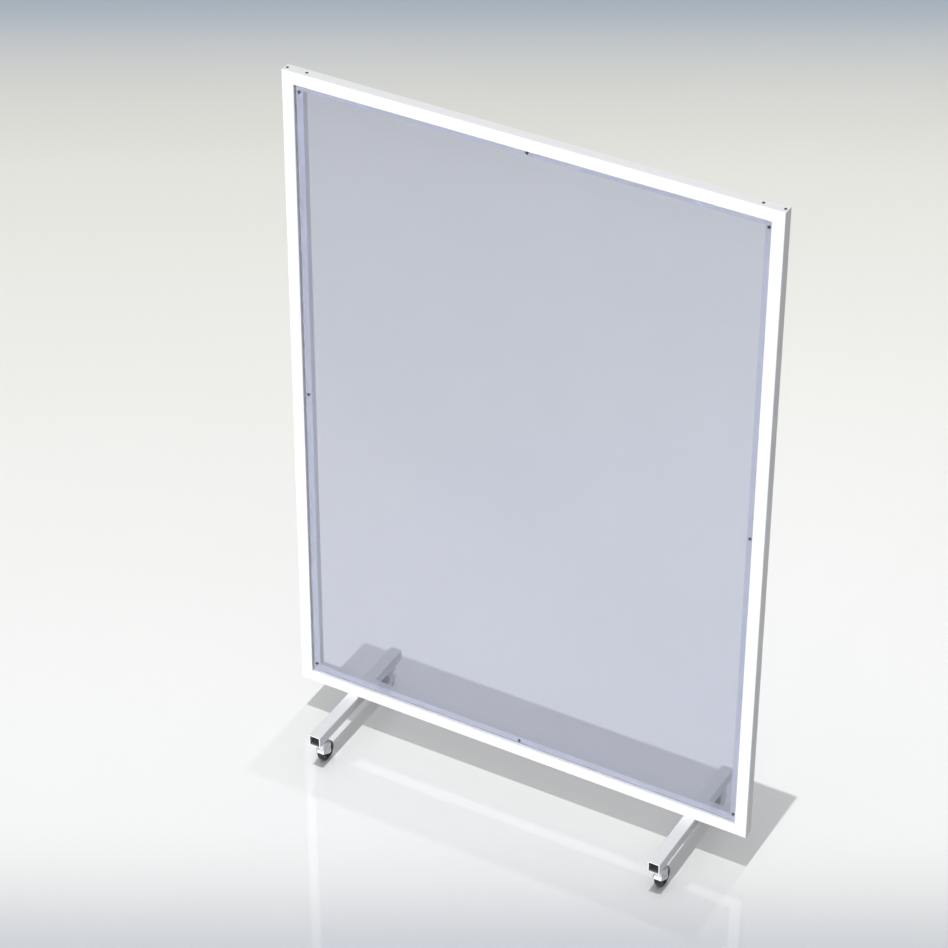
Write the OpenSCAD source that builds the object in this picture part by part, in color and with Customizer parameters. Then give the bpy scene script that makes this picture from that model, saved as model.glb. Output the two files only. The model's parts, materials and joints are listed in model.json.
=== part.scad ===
// Free-standing partition wall on casters. A welded-look frame of square tube holds one clear
// tinted panel, screwed from the front onto four stop tubes. Two open-ended foot tubes are bolted
// under the frame, and a hooded swivel caster stands under each end of each foot.
// Millimetres. +X right, -Y front (the screwed side), +Z up. Origin: on the floor, mid-width, mid-depth.

/* [Frame] */
// Overall width of the frame
frame_w = 1524; // [900:1:2400]
// Height of the frame alone, without feet and casters
frame_h = 2145; // [1200:1:2800]
// Outside size of the square frame tube
tube = 38.1; // [34:0.1:60]
// Wall thickness of the frame tube
tube_wall = 2; // [1.5:0.1:3]
// Outside corner radius of the frame tube
tube_corner = 3; // [2:0.1:4]

/* [Corner connectors] */
// Length of each connector leg, from the outer corner of the frame
connector_leg = 100; // [90:1:140]
// Gap between a connector and the tube around it, on each side
connector_gap = 0.25; // [0.1:0.05:0.5]
// Distance from the end of the frame to the first corner screw
corner_screw_first = 9; // [8:0.5:14]
// Distance from the end of the frame to the second corner screw
corner_screw_second = 71.5; // [50:0.5:80]
// Head diameter of the corner screws
corner_head_d = 9; // [7:0.1:10]

/* [Panel and stops] */
// Thickness of the clear panel
panel_t = 4.8; // [3:0.1:8]
// Depth of the panel's front face behind the frame's front face
panel_recess = 11.1; // [8:0.1:12]
// Gap between the panel's edge and the frame all round
panel_gap = 1.5; // [0.5:0.1:4]
// Face width of the stop tubes behind the panel
stop_w = 22.2; // [18:0.1:30]
// Wall thickness of the stop tubes
stop_wall = 1.6; // [1.2:0.1:2]
// Outside corner radius of the stop tubes
stop_corner = 2; // [1.5:0.1:2.5]
// Distance from the frame's outer top or bottom to the end screws of the panel
panel_screw_end = 63.5; // [62:0.5:120]
// Head diameter of the panel screws
panel_head_d = 9.5; // [8:0.1:12]
// Clearance hole in the panel for a screw
panel_hole_d = 6.4; // [5.6:0.1:7.5]

/* [Feet] */
// Length of each foot tube, front to back
foot_len = 495; // [380:1:800]
// Distance between the middles of the two feet
foot_spacing = 1154; // [600:1:1300]
// Outside size of the square foot tube
foot_tube = 38.1; // [34:0.1:50]
// Wall thickness of the foot tube
foot_wall = 3.2; // [2.5:0.1:4]
// Front to back distance between the two bolts that hold each foot
foot_bolt_pitch = 17; // [14:0.5:18]

/* [Casters] */
// Height from the floor to the underside of a foot
caster_h = 88; // [86:0.5:110]
// Wheel diameter
wheel_d = 63.5; // [50:0.5:64]
// Width of the tyre
tyre_w = 24; // [18:0.5:26]
// Thickness of the rubber tyre on its hub
tyre_t = 7; // [5:0.5:9]
// Distance between the swivel axis and the wheel axle
caster_trail = 15; // [10:0.5:18]
// Distance from the end of a foot to the swivel axis
stem_inset = 45; // [36:0.5:80]
// Diameter of the threaded caster stem
stem_d = 10; // [8:0.5:12]
// Diameter of the wheel axle
axle_d = 8; // [6:0.5:9]
// Sheet thickness of the caster hood
hood_t = 2; // [1.5:0.1:2.5]
// Number of balls in each swivel bearing
ball_count = 12; // [6:1:12]
// Ball diameter
ball_d = 6; // [4:0.5:6]

/* [Hidden] */

$fn = 48;
eps = 0.01;          // how far a cut runs past the face it opens
seat_gap = 0.05;     // radial gap of a piece seated in its hole
running_gap = 0.05;  // radial gap of a pin that turns in its hole
body_gap = 0.3;      // gap between faces of two bodies that move apart

// Heights, from the floor up
axle_z = wheel_d / 2;
foot_z = caster_h;
frame_z = foot_z + foot_tube;
frame_top = frame_z + frame_h;
mid_z = frame_z + frame_h / 2;

// Frame and stops
tube_inside = tube - 2 * tube_wall;
tube_corner_inside = max(tube_corner - tube_wall, 0.5);
connector_size = tube_inside - 2 * connector_gap;
connector_pocket = 4;
front_y = -tube / 2;
panel_y = front_y + panel_recess;
stop_y = panel_y + panel_t;
stop_d = tube / 2 - stop_y;
open_w = frame_w - 2 * tube;
open_h = frame_h - 2 * tube;
stop_mid = tube + stop_w / 2;

// Screws: M5 in the panel, M6 in the corners and feet
m5_d = 5;
m6_d = 6;
corner_head_h = 2;
corner_screw_grip = 12;
panel_head_h = 2.75;
rivet_flange_t = 0.8;
m5_nut_d = 7;
m5_flange_d = 9;
m5_nut_len = 12;
panel_screw_len = panel_t + m5_nut_len;
m6_nut_d = 9;
m6_flange_d = 11;
m6_nut_len = 14;
foot_head_d = 10.5;
foot_head_h = 3.3;
foot_bolt_len = foot_tube + m6_nut_len;

// Caster swivel head, from the hood's top up to the foot
wheel_room = 1.75;   // gap between the tyre and the hood's inside
hood_r = wheel_d / 2 + wheel_room + hood_t;
hub_side = 1;
hub_w = tyre_w + 2 * hub_side;
hub_gap = 0.5;
hood_half_w = hub_w / 2 + hub_gap + hood_t;
hood_edge_r = 5;
turret_r = 15;
race_plate_t = 3.5;
race_head_room = 4.5;
hood_top = axle_z + wheel_d / 2 + race_head_room + race_plate_t;
groove_depth = 0.9;
ball_z = hood_top - groove_depth + ball_d / 2 + seat_gap;
ball_ring_r = turret_r - ball_d / 2;
upper_race_z = ball_z + ball_d / 2 + body_gap;
upper_race_t = 3.5;
upper_race_r = 19;
skirt_t = 2;
skirt_drop = 3.5;
kingpin_head_r = 7.5;
kingpin_head_t = 3;
stem_hex = 22;
stem_nut_hex = 17;
stem_nut_h = 8;
washer_r = 10;
washer_t = 2;
stem_end = 4;
stem_y = foot_len / 2 - stem_inset;

// Hood outline, measured from the axle
boss_r = 8;
hood_rear = 7;
hood_front_rise = 16;
axle_head_r = 6;
axle_head_t = 2;
bushing_r = axle_d / 2 + 2;
hub_boss_r = bushing_r + 4;
hub_web = 10;
hub_rim_t = 5;
tyre_shoulder = 5;

FRONT = 0;
REAR = 180;

// ---- Shared shapes ----

// A rectangle with round corners, centred
module rounded_rect(w, d, r) {
    square([w - 2 * r, d], center = true);
    square([w, d - 2 * r], center = true);
    for (x = [-1, 1], y = [-1, 1])
        translate([x * (w / 2 - r), y * (d / 2 - r)]) circle(r);
}

// Section of a rectangular tube, centred
module tube_section(w, d, wall, corner) {
    difference() {
        rounded_rect(w, d, corner);
        rounded_rect(w - 2 * wall, d - 2 * wall, max(corner - wall, 0.5));
    }
}

// Stands a flat X-Z drawing up and gives it a depth along Y, centred
module along_y(depth) {
    rotate([90, 0, 0]) linear_extrude(depth, center = true) children();
}

// Turns a flat Y-Z drawing to face along X and gives it a width, centred
module along_x(width) {
    rotate([90, 0, 90]) linear_extrude(width, center = true) children();
}

// A button-head socket screw pointing down -Z, with its head's underside at the origin
module button_screw(shank_d, head_d, head_h, length) {
    socket = shank_d * 0.6;
    difference() {
        intersection() {
            cylinder(d = head_d, h = head_h);
            translate([0, 0, head_h - dome_r(head_d, head_h)]) sphere(dome_r(head_d, head_h));
        }
        translate([0, 0, head_h * 0.4])
            cylinder(d = socket / cos(30), h = head_h, $fn = 6);
    }
    translate([0, 0, -length]) cylinder(d = shank_d - 2 * seat_gap, h = length);
}

// Radius of the dome that makes a button head: its rim stands a fifth of the head's height
function dome_r(head_d, head_h) =
    let (rise = head_h * 0.8) (pow(head_d / 2, 2) + rise * rise) / (2 * rise);

// A blind rivet nut pointing down -Z, with its flange's top at the origin
module rivet_nut(thread_d, body_d, flange_d, length) {
    difference() {
        union() {
            translate([0, 0, -rivet_flange_t]) cylinder(d = flange_d - 2 * seat_gap, h = rivet_flange_t);
            translate([0, 0, -length]) cylinder(d = body_d - 2 * seat_gap, h = length);
        }
        translate([0, 0, -length - eps]) cylinder(d = thread_d, h = length + 2 * eps);
    }
}

// The stepped hole that a rivet nut sits in, pointing down -Z
module rivet_nut_hole(body_d, flange_d, depth) {
    translate([0, 0, -rivet_flange_t]) cylinder(d = flange_d, h = rivet_flange_t + eps);
    translate([0, 0, -depth]) cylinder(d = body_d, h = depth);
}

// A hexagonal nut or collar standing on the origin, with its flats facing front and back
module hex_block(across_flats, h) {
    cylinder(d = across_flats / cos(30), h = h, $fn = 6);
}

// ---- Frame ----

// Outline of the mitred bottom rail, in X-Z, with its outer edge on z = 0
module mitred_outline(length) {
    polygon([[-length / 2, 0], [length / 2, 0], [length / 2 - tube, tube], [tube - length / 2, tube]]);
}

// A mitred frame tube of a given outer length along X, outer face down on z = 0
module frame_tube(length) {
    intersection() {
        translate([0, 0, tube / 2]) along_x(length) tube_section(tube, tube, tube_wall, tube_corner);
        along_y(tube + 2) mitred_outline(length);
    }
}

module stile(side) {
    translate([side * frame_w / 2, 0, mid_z])
        rotate([0, side * -90, 0]) frame_tube(frame_h);
}

module stile_left() {
    color("white") stile(-1);
}

module stile_right() {
    color("white") stile(1);
}

// Screw positions along the top and bottom rails, from the middle
corner_screw_x = [for (side = [-1, 1], inset = [corner_screw_first, corner_screw_second])
    side * (frame_w / 2 - inset)];

module rail_top() {
    color("white") difference() {
        translate([0, 0, frame_top]) rotate([0, 180, 0]) frame_tube(frame_w);
        for (x = corner_screw_x)
            translate([x, 0, frame_top - tube_wall - 1]) cylinder(d = m6_d + 0.4, h = tube_wall + 2);
    }
}

module rail_bottom() {
    color("white") difference() {
        translate([0, 0, frame_z]) frame_tube(frame_w);
        for (x = corner_screw_x)
            translate([x, 0, frame_z - 1]) cylinder(d = m6_d + 0.4, h = tube_wall + 2);
        at_foot_bolts(frame_z) rotate([180, 0, 0])
            rivet_nut_hole(m6_nut_d, m6_flange_d, tube_wall + 1);
    }
}

// One leg of a corner connector along +X, with pockets cast into its front and back.
// It starts one edge radius in, so that the other leg's rounding stays free of the tube.
module connector_leg_solid() {
    inner_end = connector_leg - tube_wall - connector_gap;
    pocket_room = inner_end - connector_size;
    pocket_len = pocket_room * 0.75;
    difference() {
        translate([(tube_corner_inside + inner_end) / 2, 0, connector_size / 2])
            along_x(inner_end - tube_corner_inside)
                rounded_rect(connector_size, connector_size, tube_corner_inside);
        for (side = [-1, 1])
            translate([connector_size + pocket_room / 2, side * connector_size / 2, connector_size / 2])
                cube([pocket_len, connector_pocket * 2, connector_size * 0.6], center = true);
    }
}

// An L-shaped connector in its bottom left place: one leg in the rail, one in the stile
module connector_bottom_left_solid() {
    inset = tube_wall + connector_gap;
    translate([inset - frame_w / 2, 0, frame_z + inset]) difference() {
        union() {
            connector_leg_solid();
            translate([connector_size, 0, 0]) rotate([0, -90, 0]) connector_leg_solid();
        }
        for (x = [corner_screw_first, corner_screw_second])
            translate([x - inset, 0, -eps]) cylinder(d = m6_d, h = corner_screw_grip + 2);
    }
}

// Copies a bottom left piece to another corner of the frame
module at_corner(right, top) {
    mirror([right ? 1 : 0, 0, 0])
        translate([0, 0, top ? mid_z : 0]) mirror([0, 0, top ? 1 : 0])
            translate([0, 0, top ? -mid_z : 0]) children();
}

module connector_top_left() {
    color("silver") at_corner(false, true) connector_bottom_left_solid();
}

module connector_top_right() {
    color("silver") at_corner(true, true) connector_bottom_left_solid();
}

module connector_bottom_left() {
    color("silver") at_corner(false, false) connector_bottom_left_solid();
}

module connector_bottom_right() {
    color("silver") at_corner(true, false) connector_bottom_left_solid();
}

module corner_screws() {
    color([0.1, 0.1, 0.1]) for (x = corner_screw_x) {
        translate([x, 0, frame_top])
            button_screw(m6_d, corner_head_d, corner_head_h, corner_screw_grip);
        translate([x, 0, frame_z]) rotate([180, 0, 0])
            button_screw(m6_d, corner_head_d, corner_head_h, corner_screw_grip);
    }
}

// ---- Panel and stops ----

// Panel screw places in X and Z: three down each side, one in the middle of top and bottom
panel_screw_places = concat(
    [for (side = [-1, 1], z = [frame_z + panel_screw_end, mid_z, frame_top - panel_screw_end])
        [side * (frame_w / 2 - stop_mid), z]],
    [[0, frame_z + stop_mid], [0, frame_top - stop_mid]]
);

// Puts a piece that points down -Z at every panel screw, pointing to the back from depth y
module at_panel_screws(y) {
    for (p = panel_screw_places)
        translate([p[0], y, p[1]]) rotate([90, 0, 0]) children();
}

// A stop tube of a given length along X, centred, front face at stop_y
module stop_tube(length) {
    translate([0, stop_y + stop_d / 2, 0])
        along_x(length) tube_section(stop_d, stop_w, stop_wall, stop_corner);
}

module stop_holes() {
    at_panel_screws(stop_y) rivet_nut_hole(m5_nut_d, m5_flange_d, stop_wall + 1);
}

module upright_stop(side) {
    color("white") difference() {
        translate([side * (frame_w / 2 - stop_mid), 0, mid_z]) rotate([0, 90, 0]) stop_tube(open_h);
        stop_holes();
    }
}

module level_stop(z) {
    color("white") difference() {
        translate([0, 0, z]) stop_tube(open_w - 2 * stop_w);
        stop_holes();
    }
}

module stop_left() {
    upright_stop(-1);
}

module stop_right() {
    upright_stop(1);
}

module stop_top() {
    level_stop(frame_top - stop_mid);
}

module stop_bottom() {
    level_stop(frame_z + stop_mid);
}

module panel() {
    color([0.78, 0.8, 0.85, 0.45]) difference() {
        translate([0, panel_y + panel_t / 2, mid_z]) along_y(panel_t)
            rounded_rect(open_w - 2 * panel_gap, open_h - 2 * panel_gap, 3);
        at_panel_screws(panel_y) translate([0, 0, -panel_t - 1])
            cylinder(d = panel_hole_d, h = panel_t + 2);
    }
}

module panel_screws() {
    color([0.08, 0.08, 0.08]) at_panel_screws(panel_y)
        button_screw(m5_d, panel_head_d, panel_head_h, panel_screw_len);
}

module panel_rivet_nuts() {
    color("silver") at_panel_screws(stop_y) rivet_nut(m5_d, m5_nut_d, m5_flange_d, m5_nut_len);
}

// ---- Feet ----

// Puts a piece that points up +Z at each of the four foot bolts
module at_foot_bolts(z) {
    for (x = [-1, 1], y = [-1, 1])
        translate([x * foot_spacing / 2, y * foot_bolt_pitch / 2, z]) children();
}

module foot(side) {
    color("white") difference() {
        translate([side * foot_spacing / 2, 0, foot_z + foot_tube / 2]) rotate([0, 0, 90])
            along_x(foot_len) tube_section(foot_tube, foot_tube, foot_wall, tube_corner);
        at_foot_bolts(foot_z - 1) cylinder(d = m6_d + 0.6, h = foot_tube + 2);
        at_stems(foot_z - 1) cylinder(d = stem_d + 0.5, h = foot_wall + 2);
    }
}

module foot_left() {
    foot(-1);
}

module foot_right() {
    foot(1);
}

module foot_bolts() {
    color("silver") at_foot_bolts(foot_z) rotate([180, 0, 0])
        button_screw(m6_d, foot_head_d, foot_head_h, foot_bolt_len);
}

module foot_rivet_nuts() {
    color("silver") at_foot_bolts(frame_z) rotate([180, 0, 0])
        rivet_nut(m6_d, m6_nut_d, m6_flange_d, m6_nut_len);
}

// ---- Casters: the pieces that stay with the feet ----

// Puts a piece on each of the four swivel axes
module at_stems(z) {
    for (x = [-1, 1], y = [-1, 1])
        translate([x * foot_spacing / 2, y * stem_y, z]) children();
}

module caster_stems() {
    collar_z = upper_race_z + upper_race_t;
    pin_z = hood_top - race_plate_t - body_gap - kingpin_head_t;
    stud_top = foot_z + foot_wall + washer_t + stem_nut_h + stem_end;
    color("silver") {
        at_stems(pin_z) cylinder(r = kingpin_head_r, h = kingpin_head_t);
        at_stems(pin_z) cylinder(d = stem_d, h = collar_z - pin_z);
        at_stems(collar_z) hex_block(stem_hex, foot_z - collar_z);
        at_stems(foot_z) cylinder(d = stem_d, h = stud_top - foot_z);
    }
}

module stem_washers() {
    color("silver") at_stems(foot_z + foot_wall) difference() {
        cylinder(r = washer_r, h = washer_t);
        translate([0, 0, -eps]) cylinder(d = stem_d + 0.5, h = washer_t + 2 * eps);
    }
}

module stem_nuts() {
    color("silver") at_stems(foot_z + foot_wall + washer_t) difference() {
        hex_block(stem_nut_hex, stem_nut_h);
        translate([0, 0, -eps]) cylinder(d = stem_d + 2 * seat_gap, h = stem_nut_h + 2 * eps);
    }
}

module upper_races() {
    color("silver") at_stems(upper_race_z) difference() {
        translate([0, 0, -skirt_drop]) cylinder(r = upper_race_r, h = skirt_drop + upper_race_t);
        translate([0, 0, -skirt_drop - eps])
            cylinder(r = upper_race_r - skirt_t, h = skirt_drop + eps);
        translate([0, 0, -eps]) cylinder(d = stem_d + 2 * seat_gap, h = upper_race_t + 2 * eps);
    }
}

// ---- Casters: the pieces that turn ----
// Each is drawn with its swivel axis on the origin and its wheel towards +Y, then set in place.

// Moves a caster piece to its corner; the wheels of both ends point in towards the frame
module at_caster(side, facing) {
    translate([side * foot_spacing / 2, facing == FRONT ? -stem_y : stem_y, 0])
        rotate([0, 0, facing]) children();
}

// Spins a flat drawing about the wheel axle: its X is the radius and its Y runs along the axle
module about_axle() {
    translate([0, caster_trail, axle_z]) rotate([0, 90, 0]) rotate_extrude($fn = 96) children();
}

// Half section of a drum: a disc of a radius and half width with its rim edges rounded
module drum_section(r, half_w, edge_r) {
    square([r - edge_r, half_w * 2]);
    translate([0, edge_r]) square([r, (half_w - edge_r) * 2]);
    for (y = [edge_r, half_w * 2 - edge_r]) translate([r - edge_r, y]) circle(edge_r);
}

module drum(r, half_w, edge_r) {
    about_axle() translate([0, -half_w]) drum_section(r, half_w, edge_r);
}

// Side view of the hood: closed over the top and the outer end, cut away low down and inward
module hood_outline() {
    reach = hood_r + 10;
    translate([caster_trail, axle_z]) {
        polygon([[-reach, reach], [hood_rear, reach], [hood_rear, 0],
                 [-boss_r * 0.4, -boss_r * 0.87], [-reach, hood_front_rise]]);
        circle(boss_r);
    }
}

module hood() {
    inner_edge_r = hood_edge_r - hood_t;
    turret_foot = axle_z + hood_r / 2;
    cavity_top = hood_top - race_plate_t;
    difference() {
        union() {
            intersection() {
                drum(hood_r, hood_half_w, hood_edge_r);
                along_x(hood_half_w * 2 + 2) hood_outline();
            }
            translate([0, 0, turret_foot]) cylinder(r = turret_r, h = hood_top - turret_foot);
        }
        drum(hood_r - hood_t, hood_half_w - hood_t, inner_edge_r);
        translate([0, 0, axle_z]) cylinder(r = turret_r - hood_t - 0.5, h = cavity_top - axle_z);
        cylinder(d = stem_d + 2 * running_gap, h = hood_top + 1);
        translate([0, 0, ball_z]) rotate_extrude() translate([ball_ring_r, 0]) circle(ball_d / 2 + seat_gap);
        translate([0, caster_trail, axle_z]) rotate([0, 90, 0])
            cylinder(d = axle_d + 2 * seat_gap, h = hood_half_w * 2 + 2, center = true);
    }
}

module balls() {
    for (i = [0 : ball_count - 1])
        rotate([0, 0, i * 360 / ball_count]) translate([ball_ring_r, 0, ball_z]) sphere(d = ball_d);
}

module axle() {
    about_axle() {
        translate([0, -hood_half_w]) square([axle_d / 2, hood_half_w * 2]);
        for (y = [-hood_half_w - axle_head_t, hood_half_w]) translate([0, y])
            square([axle_head_r, axle_head_t]);
    }
}

module bushing() {
    about_axle() translate([axle_d / 2 + running_gap, -hub_w / 2])
        square([bushing_r - axle_d / 2 - running_gap, hub_w]);
}

module hub() {
    rim_r = wheel_d / 2 - tyre_t;
    about_axle() {
        translate([bushing_r + seat_gap, -hub_w / 2]) square([hub_boss_r - bushing_r - seat_gap, hub_w]);
        translate([hub_boss_r - 1, -hub_web / 2]) square([rim_r - hub_boss_r + 1, hub_web]);
        translate([rim_r - hub_rim_t, -tyre_w / 2]) square([hub_rim_t, tyre_w]);
    }
}

module tyre() {
    rim_r = wheel_d / 2 - tyre_t;
    about_axle() difference() {
        translate([0, -tyre_w / 2]) drum_section(wheel_d / 2, tyre_w / 2, tyre_shoulder);
        translate([0, -tyre_w]) square([rim_r, tyre_w * 2]);
    }
}

module hood_front_left() {
    color("silver") at_caster(-1, FRONT) hood();
}

module hood_front_right() {
    color("silver") at_caster(1, FRONT) hood();
}

module hood_rear_left() {
    color("silver") at_caster(-1, REAR) hood();
}

module hood_rear_right() {
    color("silver") at_caster(1, REAR) hood();
}

module balls_front_left() {
    color("gray") at_caster(-1, FRONT) balls();
}

module balls_front_right() {
    color("gray") at_caster(1, FRONT) balls();
}

module balls_rear_left() {
    color("gray") at_caster(-1, REAR) balls();
}

module balls_rear_right() {
    color("gray") at_caster(1, REAR) balls();
}

module axle_front_left() {
    color("silver") at_caster(-1, FRONT) axle();
}

module axle_front_right() {
    color("silver") at_caster(1, FRONT) axle();
}

module axle_rear_left() {
    color("silver") at_caster(-1, REAR) axle();
}

module axle_rear_right() {
    color("silver") at_caster(1, REAR) axle();
}

module bushing_front_left() {
    color("gray") at_caster(-1, FRONT) bushing();
}

module bushing_front_right() {
    color("gray") at_caster(1, FRONT) bushing();
}

module bushing_rear_left() {
    color("gray") at_caster(-1, REAR) bushing();
}

module bushing_rear_right() {
    color("gray") at_caster(1, REAR) bushing();
}

module hub_front_left() {
    color([0.12, 0.12, 0.12]) at_caster(-1, FRONT) hub();
}

module hub_front_right() {
    color([0.12, 0.12, 0.12]) at_caster(1, FRONT) hub();
}

module hub_rear_left() {
    color([0.12, 0.12, 0.12]) at_caster(-1, REAR) hub();
}

module hub_rear_right() {
    color([0.12, 0.12, 0.12]) at_caster(1, REAR) hub();
}

module tyre_front_left() {
    color([0.05, 0.05, 0.05]) at_caster(-1, FRONT) tyre();
}

module tyre_front_right() {
    color([0.05, 0.05, 0.05]) at_caster(1, FRONT) tyre();
}

module tyre_rear_left() {
    color([0.05, 0.05, 0.05]) at_caster(-1, REAR) tyre();
}

module tyre_rear_right() {
    color([0.05, 0.05, 0.05]) at_caster(1, REAR) tyre();
}

stile_left();
stile_right();
rail_top();
rail_bottom();
connector_top_left();
connector_top_right();
connector_bottom_left();
connector_bottom_right();
corner_screws();
stop_left();
stop_right();
stop_top();
stop_bottom();
panel();
panel_screws();
panel_rivet_nuts();
foot_left();
foot_right();
foot_bolts();
foot_rivet_nuts();
caster_stems();
stem_washers();
stem_nuts();
upper_races();
hood_front_left();
hood_front_right();
hood_rear_left();
hood_rear_right();
balls_front_left();
balls_front_right();
balls_rear_left();
balls_rear_right();
axle_front_left();
axle_front_right();
axle_rear_left();
axle_rear_right();
bushing_front_left();
bushing_front_right();
bushing_rear_left();
bushing_rear_right();
hub_front_left();
hub_front_right();
hub_rear_left();
hub_rear_right();
tyre_front_left();
tyre_front_right();
tyre_rear_left();
tyre_rear_right();
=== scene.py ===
"""Looks of a free-standing partition wall: a white tube frame, a clear tinted panel, four hooded casters.

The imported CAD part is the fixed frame. Tubes, screws and caster pieces get detailed meshes that ride on the
CAD bodies; the panel and the hidden inner pieces keep their CAD meshes and get their own finishes.
Every length is in metres: +X right, -Y front, +Z up, origin on the floor at the middle.
"""

import json
import logging
import math
from dataclasses import dataclass, field
from enum import Enum
from typing import Callable, Sequence

import bmesh
import bpy
from mathutils import Matrix, Vector


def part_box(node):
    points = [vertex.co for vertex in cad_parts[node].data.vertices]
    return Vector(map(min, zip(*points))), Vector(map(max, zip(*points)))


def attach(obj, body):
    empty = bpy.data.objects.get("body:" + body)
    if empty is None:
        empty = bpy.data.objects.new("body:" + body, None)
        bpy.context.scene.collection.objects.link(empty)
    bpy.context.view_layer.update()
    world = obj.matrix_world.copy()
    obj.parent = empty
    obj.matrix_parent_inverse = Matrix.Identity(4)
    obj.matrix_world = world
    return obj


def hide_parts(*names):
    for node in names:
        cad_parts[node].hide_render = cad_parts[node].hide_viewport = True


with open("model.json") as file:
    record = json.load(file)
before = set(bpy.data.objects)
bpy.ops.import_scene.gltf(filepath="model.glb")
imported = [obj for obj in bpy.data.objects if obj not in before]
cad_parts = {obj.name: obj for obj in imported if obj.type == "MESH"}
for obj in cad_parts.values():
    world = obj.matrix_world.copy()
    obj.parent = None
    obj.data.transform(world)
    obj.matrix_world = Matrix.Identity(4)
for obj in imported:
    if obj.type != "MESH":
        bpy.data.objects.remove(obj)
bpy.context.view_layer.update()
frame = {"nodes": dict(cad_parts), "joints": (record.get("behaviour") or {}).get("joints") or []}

log = logging.getLogger("partition_wall")

Colour = tuple[float, float, float]
Profile = Sequence[tuple[float, float]]

AXLE_TRAIL = 0.015
AXLE_Z = 0.03175
FOOT_WALL = 0.0032
SHARP_DEG = 34.0
WELD = 1e-6
LAMP_HEIGHT = 6.0


# ---------------------------------------------------------------- names and options


class Body(Enum):
    """The CAD body that a fixed piece rides on."""

    WALL = "wall"


class End(Enum):
    """How the end of a tube is cut."""

    SQUARE = "square"
    MITRE = "mitre"


@dataclass(frozen=True)
class Corner:
    """One of the four caster corners.

    Attributes:
        name: The corner's part of every node and body name, such as "front_left".
    """

    name: str

    @property
    def swivel_body(self) -> str:
        """The CAD body that swivels at this corner."""
        return f"caster_{self.name}"

    @property
    def wheel_body(self) -> str:
        """The CAD body that rolls at this corner."""
        return f"wheel_{self.name}"

    @property
    def is_rear(self) -> bool:
        """True for the two corners behind the panel."""
        return self.name.startswith("rear")

    def node(self, piece: str) -> str:
        """The CAD node of one piece at this corner."""
        return f"{piece}_{self.name}"


CORNERS = tuple(Corner(n) for n in ("front_left", "front_right", "rear_left", "rear_right"))


# ---------------------------------------------------------------- shader node groups


class NodeSheet:
    """A thin helper that adds and wires nodes in one node tree."""

    def __init__(self, tree: bpy.types.NodeTree) -> None:
        """Keeps the tree.

        Args:
            tree: The material's or group's node tree.
        """
        self.tree = tree

    def add(self, kind: str, **settings: object) -> bpy.types.Node:
        """Adds a node and sets its properties.

        Args:
            kind: The node's type name, such as "ShaderNodeBump".
            **settings: Properties of the node, such as operation or data_type.

        Returns:
            The new node.
        """
        node = self.tree.nodes.new(kind)
        for key, value in settings.items():
            setattr(node, key, value)
        return node

    def wire(self, source: object, target: object) -> None:
        """Joins an output socket to an input socket."""
        self.tree.links.new(source, target)

    def feed(self, value: object, target: bpy.types.NodeSocket) -> None:
        """Gives an input either a plain value or a link.

        Args:
            value: A number, a colour, or an output socket.
            target: The input socket.
        """
        if isinstance(value, bpy.types.NodeSocket):
            self.wire(value, target)
        else:
            target.default_value = value

    def math(self, operation: str, a: object, b: object = 0.0, clamp: bool = False) -> object:
        """Adds a Math node.

        Args:
            operation: The node's operation.
            a: First value or socket.
            b: Second value or socket.
            clamp: True to keep the result within 0 and 1.

        Returns:
            The result socket.
        """
        node = self.add("ShaderNodeMath", operation=operation, use_clamp=clamp)
        self.feed(a, node.inputs[0])
        self.feed(b, node.inputs[1])
        return node.outputs[0]

    def ramp(
        self, value: object, low: object, high: object, out_low: object = 0.0, out_high: object = 1.0
    ) -> object:
        """Maps a value smoothly from one range to another.

        Args:
            value: The socket to map.
            low: Input value or socket that gives out_low.
            high: Input value or socket that gives out_high.
            out_low: Result at low.
            out_high: Result at high.

        Returns:
            The result socket.
        """
        node = self.add("ShaderNodeMapRange", interpolation_type="SMOOTHSTEP", clamp=True)
        self.feed(value, node.inputs["Value"])
        for key, number in (("From Min", low), ("From Max", high), ("To Min", out_low), ("To Max", out_high)):
            self.feed(number, node.inputs[key])
        return node.outputs["Result"]

    def mix(self, amount: object, a: object, b: object, blend: str = "MIX") -> object:
        """Mixes two colours.

        Args:
            amount: How much of b shows, a value or socket.
            a: First colour or socket.
            b: Second colour or socket.
            blend: The node's blend type.

        Returns:
            The colour socket.
        """
        node = self.add("ShaderNodeMix", data_type="RGBA", blend_type=blend, clamp_factor=True)
        self.feed(amount, node.inputs["Factor"])
        for value, socket in ((a, node.inputs["A"]), (b, node.inputs["B"])):
            self.feed((*value, 1.0) if isinstance(value, tuple) and len(value) == 3 else value, socket)
        return node.outputs["Result"]

    def noise(self, where: object, scale: object, detail: float, rough: float) -> object:
        """Adds a Noise texture.

        Args:
            where: The coordinate socket.
            scale: Noise features per metre, a value or socket.
            detail: Number of octaves.
            rough: How strong the finer octaves are.

        Returns:
            The noise value socket.
        """
        node = self.add("ShaderNodeTexNoise")
        self.wire(where, node.inputs["Vector"])
        for key, number in (("Scale", scale), ("Detail", detail), ("Roughness", rough)):
            self.feed(number, node.inputs[key])
        return node.outputs["Fac"]


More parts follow.
